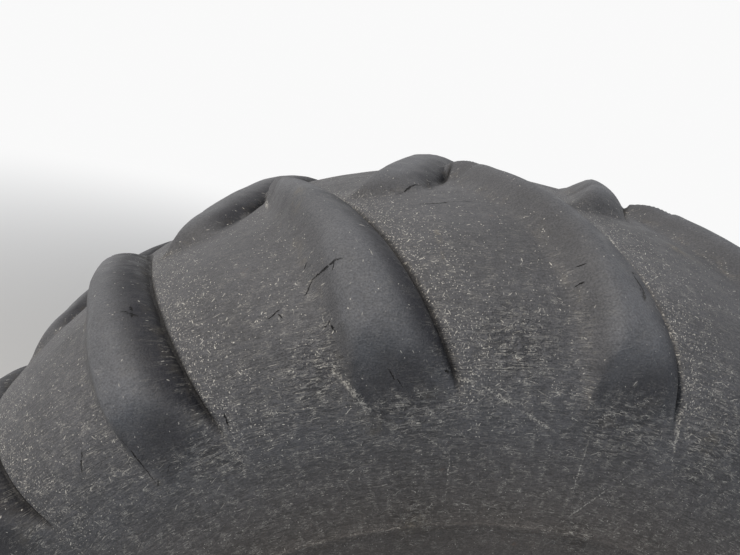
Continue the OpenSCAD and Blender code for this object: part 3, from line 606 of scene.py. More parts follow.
def makeTyre():
    cols = columnAngles()
    fine, coarse = rowStations()
    rows = []  # every nth column, signed distance across, y, r, normal y, normal r
    crown = fine[(fine > 0) & (fine < 0.12)]
    for side, stations, step in ((-1, coarse[::-1], 2), (-1, crown[::-1], 1), (1, fine, 1)):
        for s in stations:
            rows.append((step, side * s, side * np.interp(s, secS, secY), np.interp(s, secS, secR),
                         -side * np.interp(s, secS, slopeR), np.interp(s, secS, slopeY)))
    outer = len(rows)
    innerHalf, innerCrown = casingHalf - tyre.sidewall, crownR - tyre.treadThick
    last = secS[-1]
    inside = [(last, beadHalf - 48 * mm, beadR - 3.6 * mm), (last, beadHalf - 30 * mm, beadR + 90 * mm)]
    for t in np.radians(np.linspace(90, 0, 7)):
        r = widestR + (innerCrown - widestR) * (1 - math.sin(t) ** tyre.flatness) ** (1 / tyre.fullness)
        inside.append((0.5, innerHalf * math.sin(t), r))
    inside = inside + [(-a, -y, r) for a, y, r in reversed(inside[:-1])]
    rows += [(2 if i in (0, len(inside) - 1) else 4, a, y, r, 0, 0) for i, (a, y, r) in enumerate(inside)]

    points, values, rings = [], [], []
    start = 0
    for i, (step, s, y, r, ny, nr) in enumerate(rows):
        angle = cols[::step] + leanAt(abs(s))
        count = len(angle)
        share, crease, grit, steep, tall = np.zeros((5, count))
        if i < outer and abs(s) < 0.5:
            for hand in (1, -1):
                across = hand * s * np.ones(count)
                form, dent, sand, number = lugForm(angle, across, hand)
                steep = np.where(form > share, steepness(angle, across, hand), steep)
                high = form * (tyre.lugH + lugTall[0 if hand > 0 else 1, number])
                share, tall = np.maximum(share, form), np.maximum(tall, high)
                crease, grit = np.maximum(crease, dent), np.maximum(grit, sand)
            # the crease is only where no other lug covers it
            crease = crease * (share < 0.45)
        lift = tall - crease * tyre.creaseDeep
        sin, cos = np.sin(angle), np.cos(angle)
        if i < outer:
            # slow unevenness of an old casing, and finer wear
            for k in range(count):
                p = Vector((r * sin[k], y, r * cos[k]))
                lift[k] += noise.noise(p * 9) * 1.8 * mm + noise.noise(p * 34) * 0.7 * mm
        ys = np.clip(y + ny * lift, -casingHalf, casingHalf)
        rs = np.minimum(r + nr * lift, crownR + tyre.lugH)
        points.append(np.stack([-rs * sin, wheelMiddle - ys, rs * cos], -1))
        values.append((share, crease ** 2, grit * (share < 0.3), np.clip(steep, 0, 3), np.full(count, s)))
        rings.append(list(range(start, start + count)))
        start += count
    faces = []
    for i in range(len(rings)):
        faces += joinRings(rings[i], rings[(i + 1) % len(rings)])
    piece = newPiece(
        "worn_tyre", np.concatenate(points), faces, "wheel", wornRubber(rubber), "tyre", 80)
    for name, parts in zip(("rise", "crease", "grit", "steep", "across"), zip(*values)):
        setAttribute(piece, name, np.concatenate(parts))
    print("tyre made, triangles", sum(len(f) - 2 for f in faces))


makeTyre()


# turned, cast and welded pieces. Their shapes are in mm, with z outboard of the axle flange's face,
# and carry an edge value: 1 on an outer corner, where paint chips, and -1 in an inner one, which the paint
# darkens with dirt and painted shade

def rounded(path, closed=True, steps=4):
    # (z, r, corner radius) points to (z, r, edge) points, with every corner rounded
    spots = [Vector(p[:2]) for p in path]
    count = len(spots)
    spin = sum(spots[i - 1].x * spots[i].y - spots[i - 1].y * spots[i].x for i in range(count))
    line = []
    for i, (z, r, radius) in enumerate(path):
        here = spots[i]
        if not radius or (not closed and i in (0, count - 1)):
            line.append((z, r, 0.0))
            continue
        a, b = spots[i - 1] - here, spots[(i + 1) % count] - here
        longA, longB = a.length, b.length
        a.normalize()
        b.normalize()
        half = a.angle(b) / 2
        if half > 1.56:  # nearly straight on, so there is no corner
            continue
        reach = min(radius / math.tan(half), 0.46 * longA, 0.46 * longB)
        middle = here + (a + b).normalized() * reach / math.cos(half)
        # large bends are neither chipped nor dirty
        side = (-1.0 if (a.x * b.y - a.y * b.x) * spin > 0 else 1.0) * min(1.0, 4.5 / radius)
        fromA, fromB = here + a * reach - middle, here + b * reach - middle
        turn = math.pi - 2 * half
        room = 0.6 * reach + 0.8
        if 2 * room < longA - reach:
            line.append((*(here + a * (reach + room)), 0.0))
        for k in range(steps + 1):
            t = k / steps
            spot = middle + (fromA * math.sin((1 - t) * turn) + fromB * math.sin(t * turn)) / math.sin(turn)
            line.append((*spot, side * (0.55 if k in (0, steps) else 1.0)))
        if 2 * room < longB - reach:
            line.append((*(here + b * (reach + room)), 0.0))
    return line


def sheetOutline(path, thick):
    # closed outline of a sheet that lies on one side of a (z, r, corner radius) path
    spots = [Vector(p[:2]) for p in path]
    other = []
    for i, (z, r, radius) in enumerate(path):
        ahead = spots[min(i + 1, len(path) - 1)] - spots[min(i, len(path) - 2)]
        behind = spots[max(i, 1)] - spots[max(i - 1, 0)]
        ahead.normalize()
        behind.normalize()
        n1, n2 = Vector((behind.y, -behind.x)), Vector((ahead.y, -ahead.x))
        turned = behind.x * ahead.y - behind.y * ahead.x
        spot = spots[i] + (n1 + n2).normalized() * thick / math.sqrt((1 + n1.dot(n2)) / 2)
        inner = max(radius + (thick if turned > 0 else -thick), 1.0) if radius else 0
        other.append((spot.x, spot.y, inner))
    return list(path) + other[::-1]


def lathe(line, columns=192, closed=True, form=None):
    # turns a line of (z, r, edge) points round z. form(z, r, angles) may give back another z and r
    angles = np.arange(columns) * 2 * math.pi / columns
    co, edge, rings, faces = [], [], [], []
    for z, r, worn in line:
        if r < 1e-6:
            rings.append([len(co)])
            co.append((0, 0, z))
            edge.append(worn)
            continue
        zs, rs = (np.broadcast_to(v, columns) for v in (form(z, r, angles) if form else (z, r)))
        rings.append(list(range(len(co), len(co) + columns)))
        co += list(zip(rs * np.cos(angles), rs * np.sin(angles), zs))
        edge += list(np.broadcast_to(worn, columns))
    for i in range(len(rings) if closed else len(rings) - 1):
        a, b = rings[i], rings[(i + 1) % len(rings)]
        for k in range(max(len(a), len(b))):
            k2 = (k + 1) % columns
            if len(a) > 1 and len(b) > 1:
                faces.append((a[k], a[k2], b[k2], b[k]))
            elif len(a) > 1:
                faces.append((a[k], a[k2], b[0]))
            elif len(b) > 1:
                faces.append((a[0], b[k2], b[k]))
    return np.array(co, float), faces, np.array(edge)


def joined(*shapes):
    co, faces, edge, start = [], [], [], 0
    for c, f, e in shapes:
        co.append(c)
        edge.append(e)
        faces += [tuple(i + start for i in face) for face in f]
        start += len(c)
    return np.concatenate(co), faces, np.concatenate(edge)


def rotated(x, y, a):
    return x * math.cos(a) - y * math.sin(a), x * math.sin(a) + y * math.cos(a)


def placed(shape, radius, angle=0.0, turn=0.0):
    # the shape moved out to a radius at an angle, in degrees, and turned about its own axis
    co, faces, edge = shape
    t, a = math.radians(turn), math.radians(angle)
    x, y = rotated(co[:, 0], co[:, 1], t)
    return np.stack([*rotated(x + radius, y, a), co[:, 2]], -1), faces, edge


def spread(shape, count, radius, turns=None):
    # like shapes round a circle, each turned its own way
    turns = [0] * count if turns is None else turns
    return joined(*(placed(shape, radius, 360 / count * i, turns[i]) for i in range(count)))


def inFrame(co):
    return np.stack([co[:, 0], -co[:, 2], co[:, 1]], -1) * mm


def metalPiece(name, shape, body, slotName, node):
    co, faces, edge = shape
    piece = newPiece(name, inFrame(co), faces, body, finishes[slotName], node, 40)
    setAttribute(piece, "edge", edge)
    return piece


def hexForm(flats, chamfer):
    # a hexagon whose corners are turned down by a 30 degree cone at its outer end
    def form(z, r, angles):
        corner = flats / 2 / np.cos((angles + math.pi / 6) % (math.pi / 3) - math.pi / 6)
        return z, np.minimum(corner, np.minimum(r, chamfer(z)))
    return form


def hexHead(flats, low, high, face=0.0, bore=0.0):
    # a chamfered hexagon from z low to high, on a washer face, with rounded edges
    top = flats / 2 * 0.94
    wide = flats / 2 / math.cos(math.pi / 6) + 1

    def cone(z):
        return top + max(0.0, high - z) * 1.73
    zs = [low + face + z for z in (0, 0.4, 1.2)]
    zs += list(np.linspace(low + face + 2.2, high - 4.4, 4)) + [high - z for z in (3.2, 2.2, 1.5, 0.9, 0.4)]
    line = [(z, wide, 0.35) for z in zs]
    line[0] = (zs[0], wide - 1.6, 0.6)
    line += [(high - 0.1, top - 0.3, 1.0), (high, top - 0.9, 0.5), (high, max(bore + 1.2, 0.5), 0.0)]
    if bore:
        line += [(high - 0.9, bore, 0.6), (low + 0.5, bore, 0.0), (low, bore + 0.5, 0.0)]
    else:
        line += [(high, 0, 0.0), (low, 0, 0.0)]
    if face:
        washer = (0, 0.87, 0.0), (0.3, 0.9, 0.8), (0.9, 0.88, 0.2)
        line += [(low + face * z, wide * r, worn) for z, r, worn in washer]
    else:
        line += [(low, wide - 2, 0.2)]
    return lathe(line, 60, True, hexForm(flats, cone))


def threadForm(pitchLong, deep, low, high):
    # a thread cut into a shank between two stations, running out at both
    def form(z, r, angles):
        phase = (z / pitchLong + angles / (2 * math.pi)) % 1
        cut = 1 - np.abs(phase * 2 - 1)
        fade = np.clip((z - low) / pitchLong, 0, 1) * np.clip((high - z) / pitchLong + 0.6, 0, 1)
        return z, r - deep * np.clip(cut * 1.25 - 0.1, 0, 1) * (fade if low <= z <= high else 0)
    return form


# paint and metals, by the name of their slot

paints = {
    "wheel_paint": {
        # even and half glossy, dull where the sun has bleached it
        "name": "yellow enamel sprayed on pressed steel",
        "colour": "#f2ac12", "faded": "#edba4a", "shadeTone": "#c8850c",
        "primer": "#6b6a66", "rust": "#5f3a22", "rustLight": "#94592c", "shadeAndDirtTone": "#5f5546",
        "dust": "#a79b82",
        "cloud": 110, "mottle": 17, "grain": 1.1, "bumpy": 0.10, "waves": 0.5,
        "chips": 0.655, "mud": (355, 430, 0.75), "rough": (0.34, 0.62),
    },
    "hub_paint": {
        # the sand's grain shows through the paint, drawn coarser than it is so that it shows
        "name": "yellow enamel brushed on sand-cast iron",
        "colour": "#eca614", "faded": "#e5b44c", "shadeTone": "#b87a0e",
        "primer": "#5a5956", "rust": "#573722", "rustLight": "#8a542c", "shadeAndDirtTone": "#4c443a",
        "dust": "#9b8f78",
        "cloud": 80, "mottle": 13, "grain": 1.9, "bumpy": 0.45, "waves": 0.7,
        "chips": 0.67, "mud": (150, 260, 0.5), "rough": (0.38, 0.66),
    },
}


def edgesAndHollows(add, solid, reach, shallow, deep):
    # outer corners, and where the shape closes in within a reach in mm. Then how far out a point lies
    edge = add("Attribute", attribute_name="edge").outputs["Fac"]
    hollow = add("AmbientOcclusion", {"Distance": reach * mm}, samples=6).outputs["AO"]
    parts = add("SeparateXYZ", solid)
    flat = add("CombineXYZ", parts.outputs[0], parts.outputs[2])
    radius = add("VectorMath LENGTH", flat).outputs["Value"]
    return edge, add("MapRange", hollow, shallow, deep), parts.outputs, radius


def enamel(m):
    mat, add = newMaterial(m["name"])
    solid = inMm(add)
    cloud, mottle, grain = patchy(add, m, solid, (
        ("cloud", 4.0, 0.5), ("mottle", 5.0, 0.62), ("grain", 2.0, 0.5)))
    edge, hollow, parts, radius = edgesAndHollows(add, solid, 45, 0.85, 0.35)

    # rain and mud run down the wheel's face, and mud clings under the rim: how far out a point lies, in mm
    near, far, most = m["mud"]
    mud = add("MapRange", radius, near, far, 0.0, most)
    runs = add("CombineXYZ", parts[0], parts[1])
    runs = add("VectorMath SCALE", {0: runs, 3: 1 / 9})
    runs = add("TexNoise", {"Vector": runs, "Scale": 1.0, "Detail": 3.0})

    faded = add("MapRange", cloud, 0.40, 0.66)
    # painted shade: random patches take the shaded copy of the paint colour
    worn = add("MapRange", mottle, 0.52, 0.75, 0.0, 0.3)

    # dust, and painted shade with dirt in inner corners and hollows
    streak = add("MapRange", runs, 0.42, 0.7, 0.0, 0.42)
    dusty = add("Math MULTIPLY", cloud, mottle)
    dusty = add("MapRange", dusty, 0.16, 0.36, 0.0, 0.8)
    dusty = add("Math MAXIMUM", dusty, streak)
    dusty = add("Math MULTIPLY_ADD", dusty, mud, 0.04, use_clamp=True)
    # painted shade and dirt: inner corners and hollows found by ambient occlusion turn darker
    inner = add("MapRange", edge, 0.0, -1.0, 0.0, 0.7)
    paintedShadeAndDirt = add("Math MAXIMUM", inner, hollow)
    paintedShadeAndDirt = add("Math MULTIPLY", paintedShadeAndDirt, add("MapRange", mottle, 0.3, 0.62, 0.2, 0.95))

    # chips down to primer and rust, most of them on outer corners
    outer = add("Math MAXIMUM", edge, 0.0)
    knocked = add("MapRange", cloud, 0.42, 0.64, 0.1, 0.22)
    bare = add("Math MULTIPLY_ADD", outer, knocked, mottle)
    bare = add("Math MULTIPLY_ADD", grain, 0.10, bare)
    rim, chip = (
        add("MapRange", bare, m["chips"] + a, m["chips"] + b) for a, b in ((0.075, 0.10), (0.10, 0.115)))
    light = add("MapRange", grain, 0.35, 0.65)
    rusty = add("Mix", {0: light, 6: m["rust"], 7: m["rustLight"]}, data_type="RGBA")

    tone = m["colour"]
    for share, coat in ((faded, m["faded"]), (worn, m["shadeTone"]), (dusty, m["dust"]), (paintedShadeAndDirt, m["shadeAndDirtTone"]),
                        (rim, m["primer"]), (chip, rusty)):
        tone = add("Mix", {0: share, 6: tone, 7: coat}, data_type="RGBA")

    height = add("Math MULTIPLY", grain, m["bumpy"])
    for form, deep in ((mottle, m["waves"]), (chip, -0.25)):
        height = add("Math MULTIPLY_ADD", form, deep, height)
    bump = add("Bump", {"Height": height, "Distance": mm, "Strength": 0.7})
    rough = add("MapRange", mottle, 0.35, 0.65, *m["rough"])
    soiled = add("Math MAXIMUM", add("Math MAXIMUM", dusty, paintedShadeAndDirt), chip)
    rough = add("Mix", {0: soiled, 2: rough, 3: 0.88}, data_type="FLOAT")
    add("OutputMaterial", {
        "Surface": add("BsdfPrincipled", {"Base Color": tone, "Roughness": rough, "Normal": bump})})
    return mat


metals = {
    "stud_steel": {
        # dark and matt, brown where the phosphate has gone
        "name": "phosphated steel with surface rust",
        "colour": "#4d4a47", "stain": "#6b4026", "shadeAndDirtTone": "#3a332b", "metal": 0.75, "rough": (0.42, 0.72),
        "mottle": 7, "grain": 0.7, "lines": 0, "stained": (0.46, 0.66),
    },
    "turned_steel": {
        # fine rings from the tool, drawn coarse enough to show, and brown oil with painted shade in the
        # corners
        "name": "turned and ground steel under an oil film",
        "colour": "#a4a4a6", "stain": "#6d5a45", "shadeAndDirtTone": "#3c342a", "metal": 1.0, "rough": (0.2, 0.42),
        "mottle": 16, "grain": 0.9, "lines": 0.5, "stained": (0.56, 0.74),
    },
    "valve_brass": {
        # yellow brown, nearly matt
        "name": "turned brass, dulled by weather",
        "colour": "#a98748", "stain": "#5c5136", "shadeAndDirtTone": "#3c3626", "metal": 1.0, "rough": (0.36, 0.6),
        "mottle": 4, "grain": 0.6, "lines": 0.3, "stained": (0.45, 0.7),
    },
    "bush_bronze": {
        # redder than brass, with bright tool rings
        "name": "bored tin bronze",
        "colour": "#b0804f", "stain": "#5e4228", "shadeAndDirtTone": "#38291b", "metal": 1.0, "rough": (0.25, 0.45),
        "mottle": 9, "grain": 0.7, "lines": 0.4, "stained": (0.5, 0.72),
    },
}


def metal(m):
    mat, add = newMaterial(m["name"])
    solid = inMm(add)
    mottle, grain = patchy(add, m, solid, (("mottle", 5.0, 0.6), ("grain", 2.0, 0.5)))
    edge, hollow, parts, radius = edgesAndHollows(add, solid, 14, 0.8, 0.3)
    stained = add("MapRange", mottle, *m["stained"])
    tone = add("Mix", {0: stained, 6: m["colour"], 7: m["stain"]}, data_type="RGBA")
    speck = add("MapRange", grain, 0.3, 0.7, 0.8, 1.18)
    bright = add("MapRange", edge, 0.2, 1.0, 1.0, 1.5)
    speck = add("Math MULTIPLY", speck, bright)
    tone = add("VectorMath SCALE", {0: tone, 3: speck})
    # painted shade and dirt: where the shape closes in, the colour turns to the dark hollow tone
    tone = add("Mix", {0: hollow, 6: tone, 7: m["shadeAndDirtTone"]}, data_type="RGBA")
    metallic = add("Math MAXIMUM", stained, hollow)
    metallic = add("MapRange", {0: metallic, 3: m["metal"], 4: 0.15})

    # tool rings: waves along the axis and along the radius
    rings = add("Math ADD", radius, parts[1])
    rings = add("TexNoise", {"W": rings, "Scale": 2.2, "Detail": 2.0}, noise_dimensions="1D")
    height = add("Math MULTIPLY", rings, 0.1 * m["lines"])
    for form, deep in ((grain, 0.06), (stained, 0.1)):
        height = add("Math MULTIPLY_ADD", form, deep, height)
    bump = add("Bump", {"Height": height, "Distance": mm, "Strength": 0.6})
    rough = add("MapRange", mottle, 0.35, 0.65, *m["rough"])
    rough = add("Mix", {0: hollow, 2: rough, 3: 0.85}, data_type="FLOAT")
    add("OutputMaterial", {"Surface": add("BsdfPrincipled", {
        "Base Color": tone, "Metallic": metallic, "Roughness": rough, "Normal": bump})})
    return mat


finishes = {slot: enamel(m) for slot, m in paints.items()} | {slot: metal(m) for slot, m in metals.items()}
turnDraws = np.random.default_rng(4)


# the rim and its disc

rim = {
    "middle": 400, "half": 343, "thick": 9, "curl": 12, "flangeTop": 431.8, "seat": 406.4, "seatEnd": 401.5,
    "seatW": 56, "ledge": 396.5, "well": 352.5, "wellOut": 125, "wellIn": -85, "wellWall": 14,
}


def makeRim(m):
    half, curl, drop = m.half, m.curl, m.seatEnd - m.ledge

    def lip(side, angles):
        at = half + curl
        return [(m.middle + side * (at + curl * math.cos(a)), m.flangeTop - curl + curl * math.sin(a), 0)
                for a in np.radians(angles)]
    seat = [
        (half, m.seat, 6), (half - m.seatW, m.seatEnd, 3), (half - m.seatW - drop, m.ledge, 3),
        (m.wellOut + m.wellWall, m.ledge, 12), (m.wellOut, m.well, 12), (m.wellIn, m.well, 12),
        (m.wellIn - m.wellWall, m.ledge, 12), (drop + m.seatW - half, m.ledge, 3),
        (m.seatW - half, m.seatEnd, 3), (-half, m.seat, 6)]
    seat = [(m.middle + y, r, c) for y, r, c in seat]
    path = lip(1, range(0, 181, 15)) + seat + lip(-1, range(180, -1, -15))
    outline = sheetOutline(path, -m.thick)
    # the cut edges of both lips are ground round
    last = len(path)
    for i in (0, last - 1, last, len(outline) - 1):
        outline[i] = (*outline[i][:2], 2.6)
    return metalPiece("pressed_rim", lathe(rounded(outline), 240), "wheel", "wheel_paint", "rim")


makeRim(Sizes(**rim))

disc = {
    "bore": 186.3, "face": 430, "thick": 22, "flat": 262, "dishR": 318.5, "dish": 60, "edge": 343.2,
    "bend": 26, "leg": 10, "ripple": 4.2, "rippleDeep": 0.55,
}


def makeDisc(m):
    back = m.face - m.dish
    path = [(m.face, m.bore, 0), (m.face, m.flat, m.bend), (back, m.dishR, m.bend), (back, m.edge, 0)]
    outline = [(z, r, c if c else 1.8) for z, r, c in sheetOutline(path, m.thick)]
    plate = lathe(rounded(outline, steps=6), 288)
    # a fillet weld with the small ripples of its runs
    low, count = back + m.thick, round(2 * math.pi * m.edge / m.ripple)
    middle = np.array((low + 0.5, m.edge - 0.5))
    beadR, toe, otherToe = (m.leg + 1.0) * 0.92, -12, 102  # the bead's radius, and its toes in degrees
    line = [(low - 2, m.edge - m.leg * 0.7, 0.0)]
    line += [(middle[0] + beadR * math.sin(a), middle[1] - beadR * math.cos(a), 0.0)
             for a in np.radians(np.linspace(toe, otherToe, 9))]
    line.append((low + m.leg * 0.6, m.edge + 1.5, 0.0))

    def ripples(z, r, angles):
        out = np.array((z, r)) - middle
        reach = np.hypot(*out)
        # crescents: the middle of the bead runs ahead of its edges
        aside = math.degrees(math.atan2(out[0], -out[1])) - (toe + otherToe) / 2
        ahead = 0.35 * (1 - 2 * abs(aside) / (otherToe - toe))
        wave = np.abs(((angles * count / (2 * math.pi) - ahead) % 1) - 0.5) * 2
        slow = np.sin(angles * 7 + 1) + np.sin(angles * 17 + 2)
        share = (1 - m.rippleDeep * wave / m.leg + 0.03 * slow) * (1 if 2 < reach else 0)
        return middle[0] + out[0] * share, middle[1] + out[1] * share
    bead = lathe(line, count * 5, True, ripples)
    return metalPiece("dished_disc", joined(plate, bead), "wheel", "wheel_paint", "disc")


makeDisc(Sizes(**disc))
print("rim and disc made")


# the hub casting, its gear housing and the planet housing that closes it

hub = {
    "barrel": 150, "inEnd": 276, "flangeIn": 404, "flangeR": 250, "disc": 430, "pilot": 186, "end": 558,
    "gearBore": 148, "spindleEnd": 470, "innerLand": 288, "outerLand": 420, "inner": 90.05, "outer": 76.05,
    "land": 44,
}


def makeHub(m):
    outline = [
        (m.inEnd, m.barrel, 3), (m.flangeIn - 18, m.barrel, 14), (m.flangeIn, m.barrel + 22, 8),
        (m.flangeIn, m.flangeR, 4), (m.disc, m.flangeR, 2), (m.disc, m.pilot, 3),
        (m.end - 12, m.pilot, 0), (m.end, m.pilot, 2), (m.end, m.gearBore, 2),
        (m.spindleEnd, m.gearBore, 8), (m.spindleEnd - 4, m.outer, 2), (m.outerLand, m.outer, 1),
        (m.outerLand, m.outer + 12, 4), (m.innerLand + m.land, m.inner + 6, 3),
        (m.innerLand + m.land, m.inner, 1), (m.innerLand, m.inner, 1),
        (m.innerLand, m.inner + 6, 3), (m.inEnd, m.inner + 6, 2)]
    return metalPiece("hub_casting", lathe(rounded(outline), 240), "wheel", "hub_paint", "hub")


makeHub(Sizes(**hub))

planets = {
    "back": 558, "flange": 576, "face": 642, "edge": 186, "base": 158, "faceR": 112,
    "bosses": 3, "bossStart": 30, "bossCircle": 100, "bossR": 40, "bossTop": 638, "pinR": 25, "recess": 3,
}


def makePlanetHousing(m):
    columns = 540
    angles = np.arange(columns) * 2 * math.pi / columns
    coneFrom = m.faceR - 8
    # corners of the cone worn round, and a fillet at its foot: radius, half width and depth of each
    bends = (coneFrom, 4, -1.0), (m.faceR, 5, -0.35), (m.base, 9, 1.26)
    soft = 5.0  # mm: how far bosses and cone blend

    def face(r, a):
        out = np.interp(r, [0, coneFrom, m.faceR, m.base], [m.face, m.face, m.face - 8, m.flange])
        for at, wide, slope in bends:
            out = out + slope * wide / 4 * np.clip(1 - np.abs(r - at) / wide, 0, 1) ** 2
        x, y = r * np.cos(a), r * np.sin(a)
        for k in range(m.bosses):
            t = math.radians(m.bossStart + 360 / m.bosses * k)
            far = np.hypot(x - m.bossCircle * math.cos(t), y - m.bossCircle * math.sin(t))
            # a boss with some draft, blended into the cone by a fillet
            boss = m.bossTop - np.clip(far - m.bossR + 2.5, 0, None) * 9
            boss = np.minimum(boss, m.bossTop - 1.6 * smoothStep(m.bossR - 5, m.bossR - 1.5, far))
            h = np.clip(0.5 + 0.5 * (boss - out) / soft, 0, 1)
            out = out * (1 - h) + boss * h + soft * h * (1 - h)
            # the face steps down to the boss's machined top
            spot = smoothStep(m.bossR + 2.4, m.bossR + 0.2, far)
            out = out * (1 - spot) + np.minimum(out, m.bossTop + 0.2) * spot
            out = out - m.recess * smoothStep(m.pinR + 0.9, m.pinR - 0.9, far)
        return out
    line = [(m.face, 0, 0.0)]
    near = [1.5, 6, 14, 24, 34, 42, 50]
    for r in np.concatenate([near, np.arange(54, m.base, 1.6), np.arange(m.base, m.edge - 2.2, 1.7)]):
        z, inner, outer = (face(np.full(columns, r + step), angles) for step in (0, -1.5, 1.5))
        line.append((z, r, np.clip((2 * z - inner - outer) / 1.2, -1, 1)))
    side = [(m.flange, m.edge - 3, 0), (m.flange, m.edge, 2.2), (m.back, m.edge, 1.5), (m.back, 0, 0)]
    line += rounded(side, False)[1:]
    return metalPiece(
        "planet_housing_casting", lathe(line, columns, False), "wheel", "hub_paint", "planet_housing")


makePlanetHousing(Sizes(**planets))


cap = {
    "foot": 642, "brim": 649, "top": 652, "brimR": 52, "topR": 48,
    "dishFrom": 44, "dishTo": 30, "dish": 0.8,
}


def makeCap(m):
    outline = [
        (m.foot, 0, 0), (m.foot, m.brimR, 0.8), (m.brim, m.brimR, 1.6), (m.brim + 0.6, m.topR + 0.6, 1.2),
        (m.top, m.topR, 2), (m.top, m.dishFrom, 0), (m.top - m.dish, m.dishTo, 0), (m.top - m.dish, 0, 0)]
    shape = lathe(rounded(outline, False), 144, False)
    return metalPiece("centre_cap_turned", shape, "wheel", "hub_paint", "centre_cap")


makeCap(Sizes(**cap))
print("hub made")


# studs, nuts, bolts, screws and the plug

fasteners = {
    "studCircle": 212.5, "studs": 12, "studR": 11, "studEnd": 485,
    "headR": 16, "headIn": 397, "headOut": 404,
    "nutFlats": 33, "nutFrom": 452, "nutT": 24, "collar": 20.4, "collarT": 4, "pitch": 2.0, "deep": 1.1,
    "plugR": 12, "plugAt": 84.8, "plugFrom": 642, "plugTo": 654,
    # piece, node, body, circle, how many, radius, where the head begins, its height, the shank's length
    "bolts": [
        ("planet_flange_bolts", "planet_bolts", "wheel", 172, 12, 6, 576, 8.4, 42),
        ("cap_hex_screws", "cap_screws", "wheel", 40.56, 6, 4, 652, 5.6, 24),
        ("spindle_hex_screws", "spindle_screws", "axle_end", 124, 12, 7, 259, 9, 40),
    ],
}


def makeFasteners(m):
    def screw(name, shape, count, circle, body, node, turns):
        metalPiece(name, spread(shape, count, circle, turns), body, "stud_steel", node)

    # studs: a round head behind the flange, and a cut thread where they stand out of the nuts
    nutTo = m.nutFrom + m.nutT
    low, high = nutTo - 2, m.studEnd
    line = rounded([(m.headIn, 0, 0), (m.headIn, m.headR, 2.5), (m.headOut, m.headR, 0.8),
                    (m.headOut, m.studR, 0), (low, m.studR, 0)], False)
    line += [(z, m.studR, 0.25) for z in np.arange(low + 0.25, high - 1.6, 0.25)]
    line += [(high - 1.5, m.studR, 1.0), (high - 0.4, m.studR - 1.3, 1.0), (high, m.studR - 2.2, 0.5),
             (high, 0, 0)]
    stud = lathe(line, 40, False, threadForm(m.pitch, m.deep, low, high))
    screw("threaded_studs", stud, m.studs, m.studCircle, "wheel", "wheel_studs",
          turnDraws.uniform(0, 60, 40))

    collarTo, bore = m.nutFrom + m.collarT, m.studR + 0.4
    body = hexHead(m.nutFlats, collarTo - 1.5, nutTo, 0, m.studR + 0.3)
    collar = lathe(rounded([
        (m.nutFrom, bore, 0.5), (m.nutFrom, m.collar, 1.2), (m.nutFrom + 1.9, m.collar, 1.0),
        (collarTo + 0.5, m.nutFlats / 2 - 0.5, 1.5), (collarTo + 0.5, bore, 0.5)]), 60)
    screw("flanged_nuts", joined(body, collar), m.studs, m.studCircle, "wheel", "wheel_nuts",
          turnDraws.uniform(0, 60, m.studs))

    for name, node, body, circle, count, radius, start, head, grip in m.bolts:
        shank = lathe(rounded([(start - grip, 0, 0), (start - grip, radius, 1), (start + 1, radius, 0),
                               (start + 1, 0, 0)], False), 32, False)
        head = hexHead(radius * 3.5 * math.cos(math.pi / 6), start, start + head, 0.6)
        screw(name, joined(head, shank), count, circle, body, node, turnDraws.uniform(0, 60, count))

    low, wide = m.plugFrom, m.plugR * 1.2
    washer = rounded([(low, 0, 0), (low, wide, 0.5), (low + 3, wide, 0.8), (low + 3, 0, 0)], False)
    plug = joined(hexHead(m.plugR * 2 * math.cos(math.pi / 6), low + 2, m.plugTo), lathe(washer, 72, False))
    metalPiece("level_plug", placed(plug, m.plugAt, 90, 17), "wheel", "stud_steel", "oil_plug")


makeFasteners(Sizes(**fasteners))
print("fasteners made")


# the valve in the well's outboard wall

valve = {
    "angle": 52, "at": 368, "r": 7, "end": 594, "inEnd": 511, "nutFrom": 546, "nutT": 8,
    "capFrom": 585, "capTo": 603, "capR": 9, "pitch": 1.3, "deep": 0.6, "grooves": 24,
}


def makeValve(m):
    line = rounded([(m.inEnd, 0, 0), (m.inEnd, m.r, 1), (m.nutFrom - 6, m.r, 0)], False)
    line += [(z, m.r, 0.2) for z in np.arange(m.nutFrom - 5.8, m.end - 1.2, 0.3)]
    line += [(m.end - 1, m.r - 0.2, 0.8), (m.end, m.r - 1.2, 0.6), (m.end, 0, 0)]
    stem = lathe(line, 32, False, threadForm(m.pitch, m.deep, m.nutFrom - 6, m.end - 1))
    nut = hexHead((m.r + 4) * 2 * math.cos(math.pi / 6), m.nutFrom, m.nutFrom + m.nutT, 0.5)
    stem = placed(joined(stem, nut), m.at, m.angle, 11)
    metalPiece("valve_stem_threaded", stem, "wheel", "valve_brass", "valve_stem")

    def knurl(z, r, angles):
        grip = 1 if m.capFrom + 3 < z < m.capTo - 4 else 0
        return z, r - 0.5 * grip * (0.5 + 0.5 * np.cos(angles * m.grooves)) * (r > m.r + 1)
    line = rounded([
        (m.capFrom, m.r + 0.3, 0.3), (m.capFrom, m.capR, 0.8), (m.capFrom + 2.6, m.capR, 0.4),
        (m.capFrom + 3.2, m.capR, 0.3), (m.capTo - 4.2, m.capR, 0.3), (m.capTo - 3.6, m.capR, 0.4),
        (m.capTo, m.capR - 0.8, 2.2), (m.capTo, 0, 0)], False)
    line += [(m.capTo - 2, 0, 0), (m.capTo - 2, m.r + 0.3, 0)]
    cover = placed(lathe(line, 96, False, knurl), m.at, m.angle)
    metalPiece("valve_cap_knurled", cover, "wheel", "valve_brass", "valve_cap")


makeValve(Sizes(**valve))
print("valve made")


# the axle end: the housing with its ribs, the spindle, the seal's guard, the bush and the half shaft

axle = {
    "flangeR": 210, "flangeT": 30, "holeCircle": 180, "holes": 12, "holeR": 11, "spigotR": 140,
    "spigot": -8,
    "bore": 46, "tube": 112, "neckEnd": 100, "neckR": 146, "joint": 237, "jointT": 22, "jointR": 136,
    "ribs": 6, "ribStart": 15, "ribT": 14, "ribR": 155, "ribToe": 36, "ribEnd": 150,
}


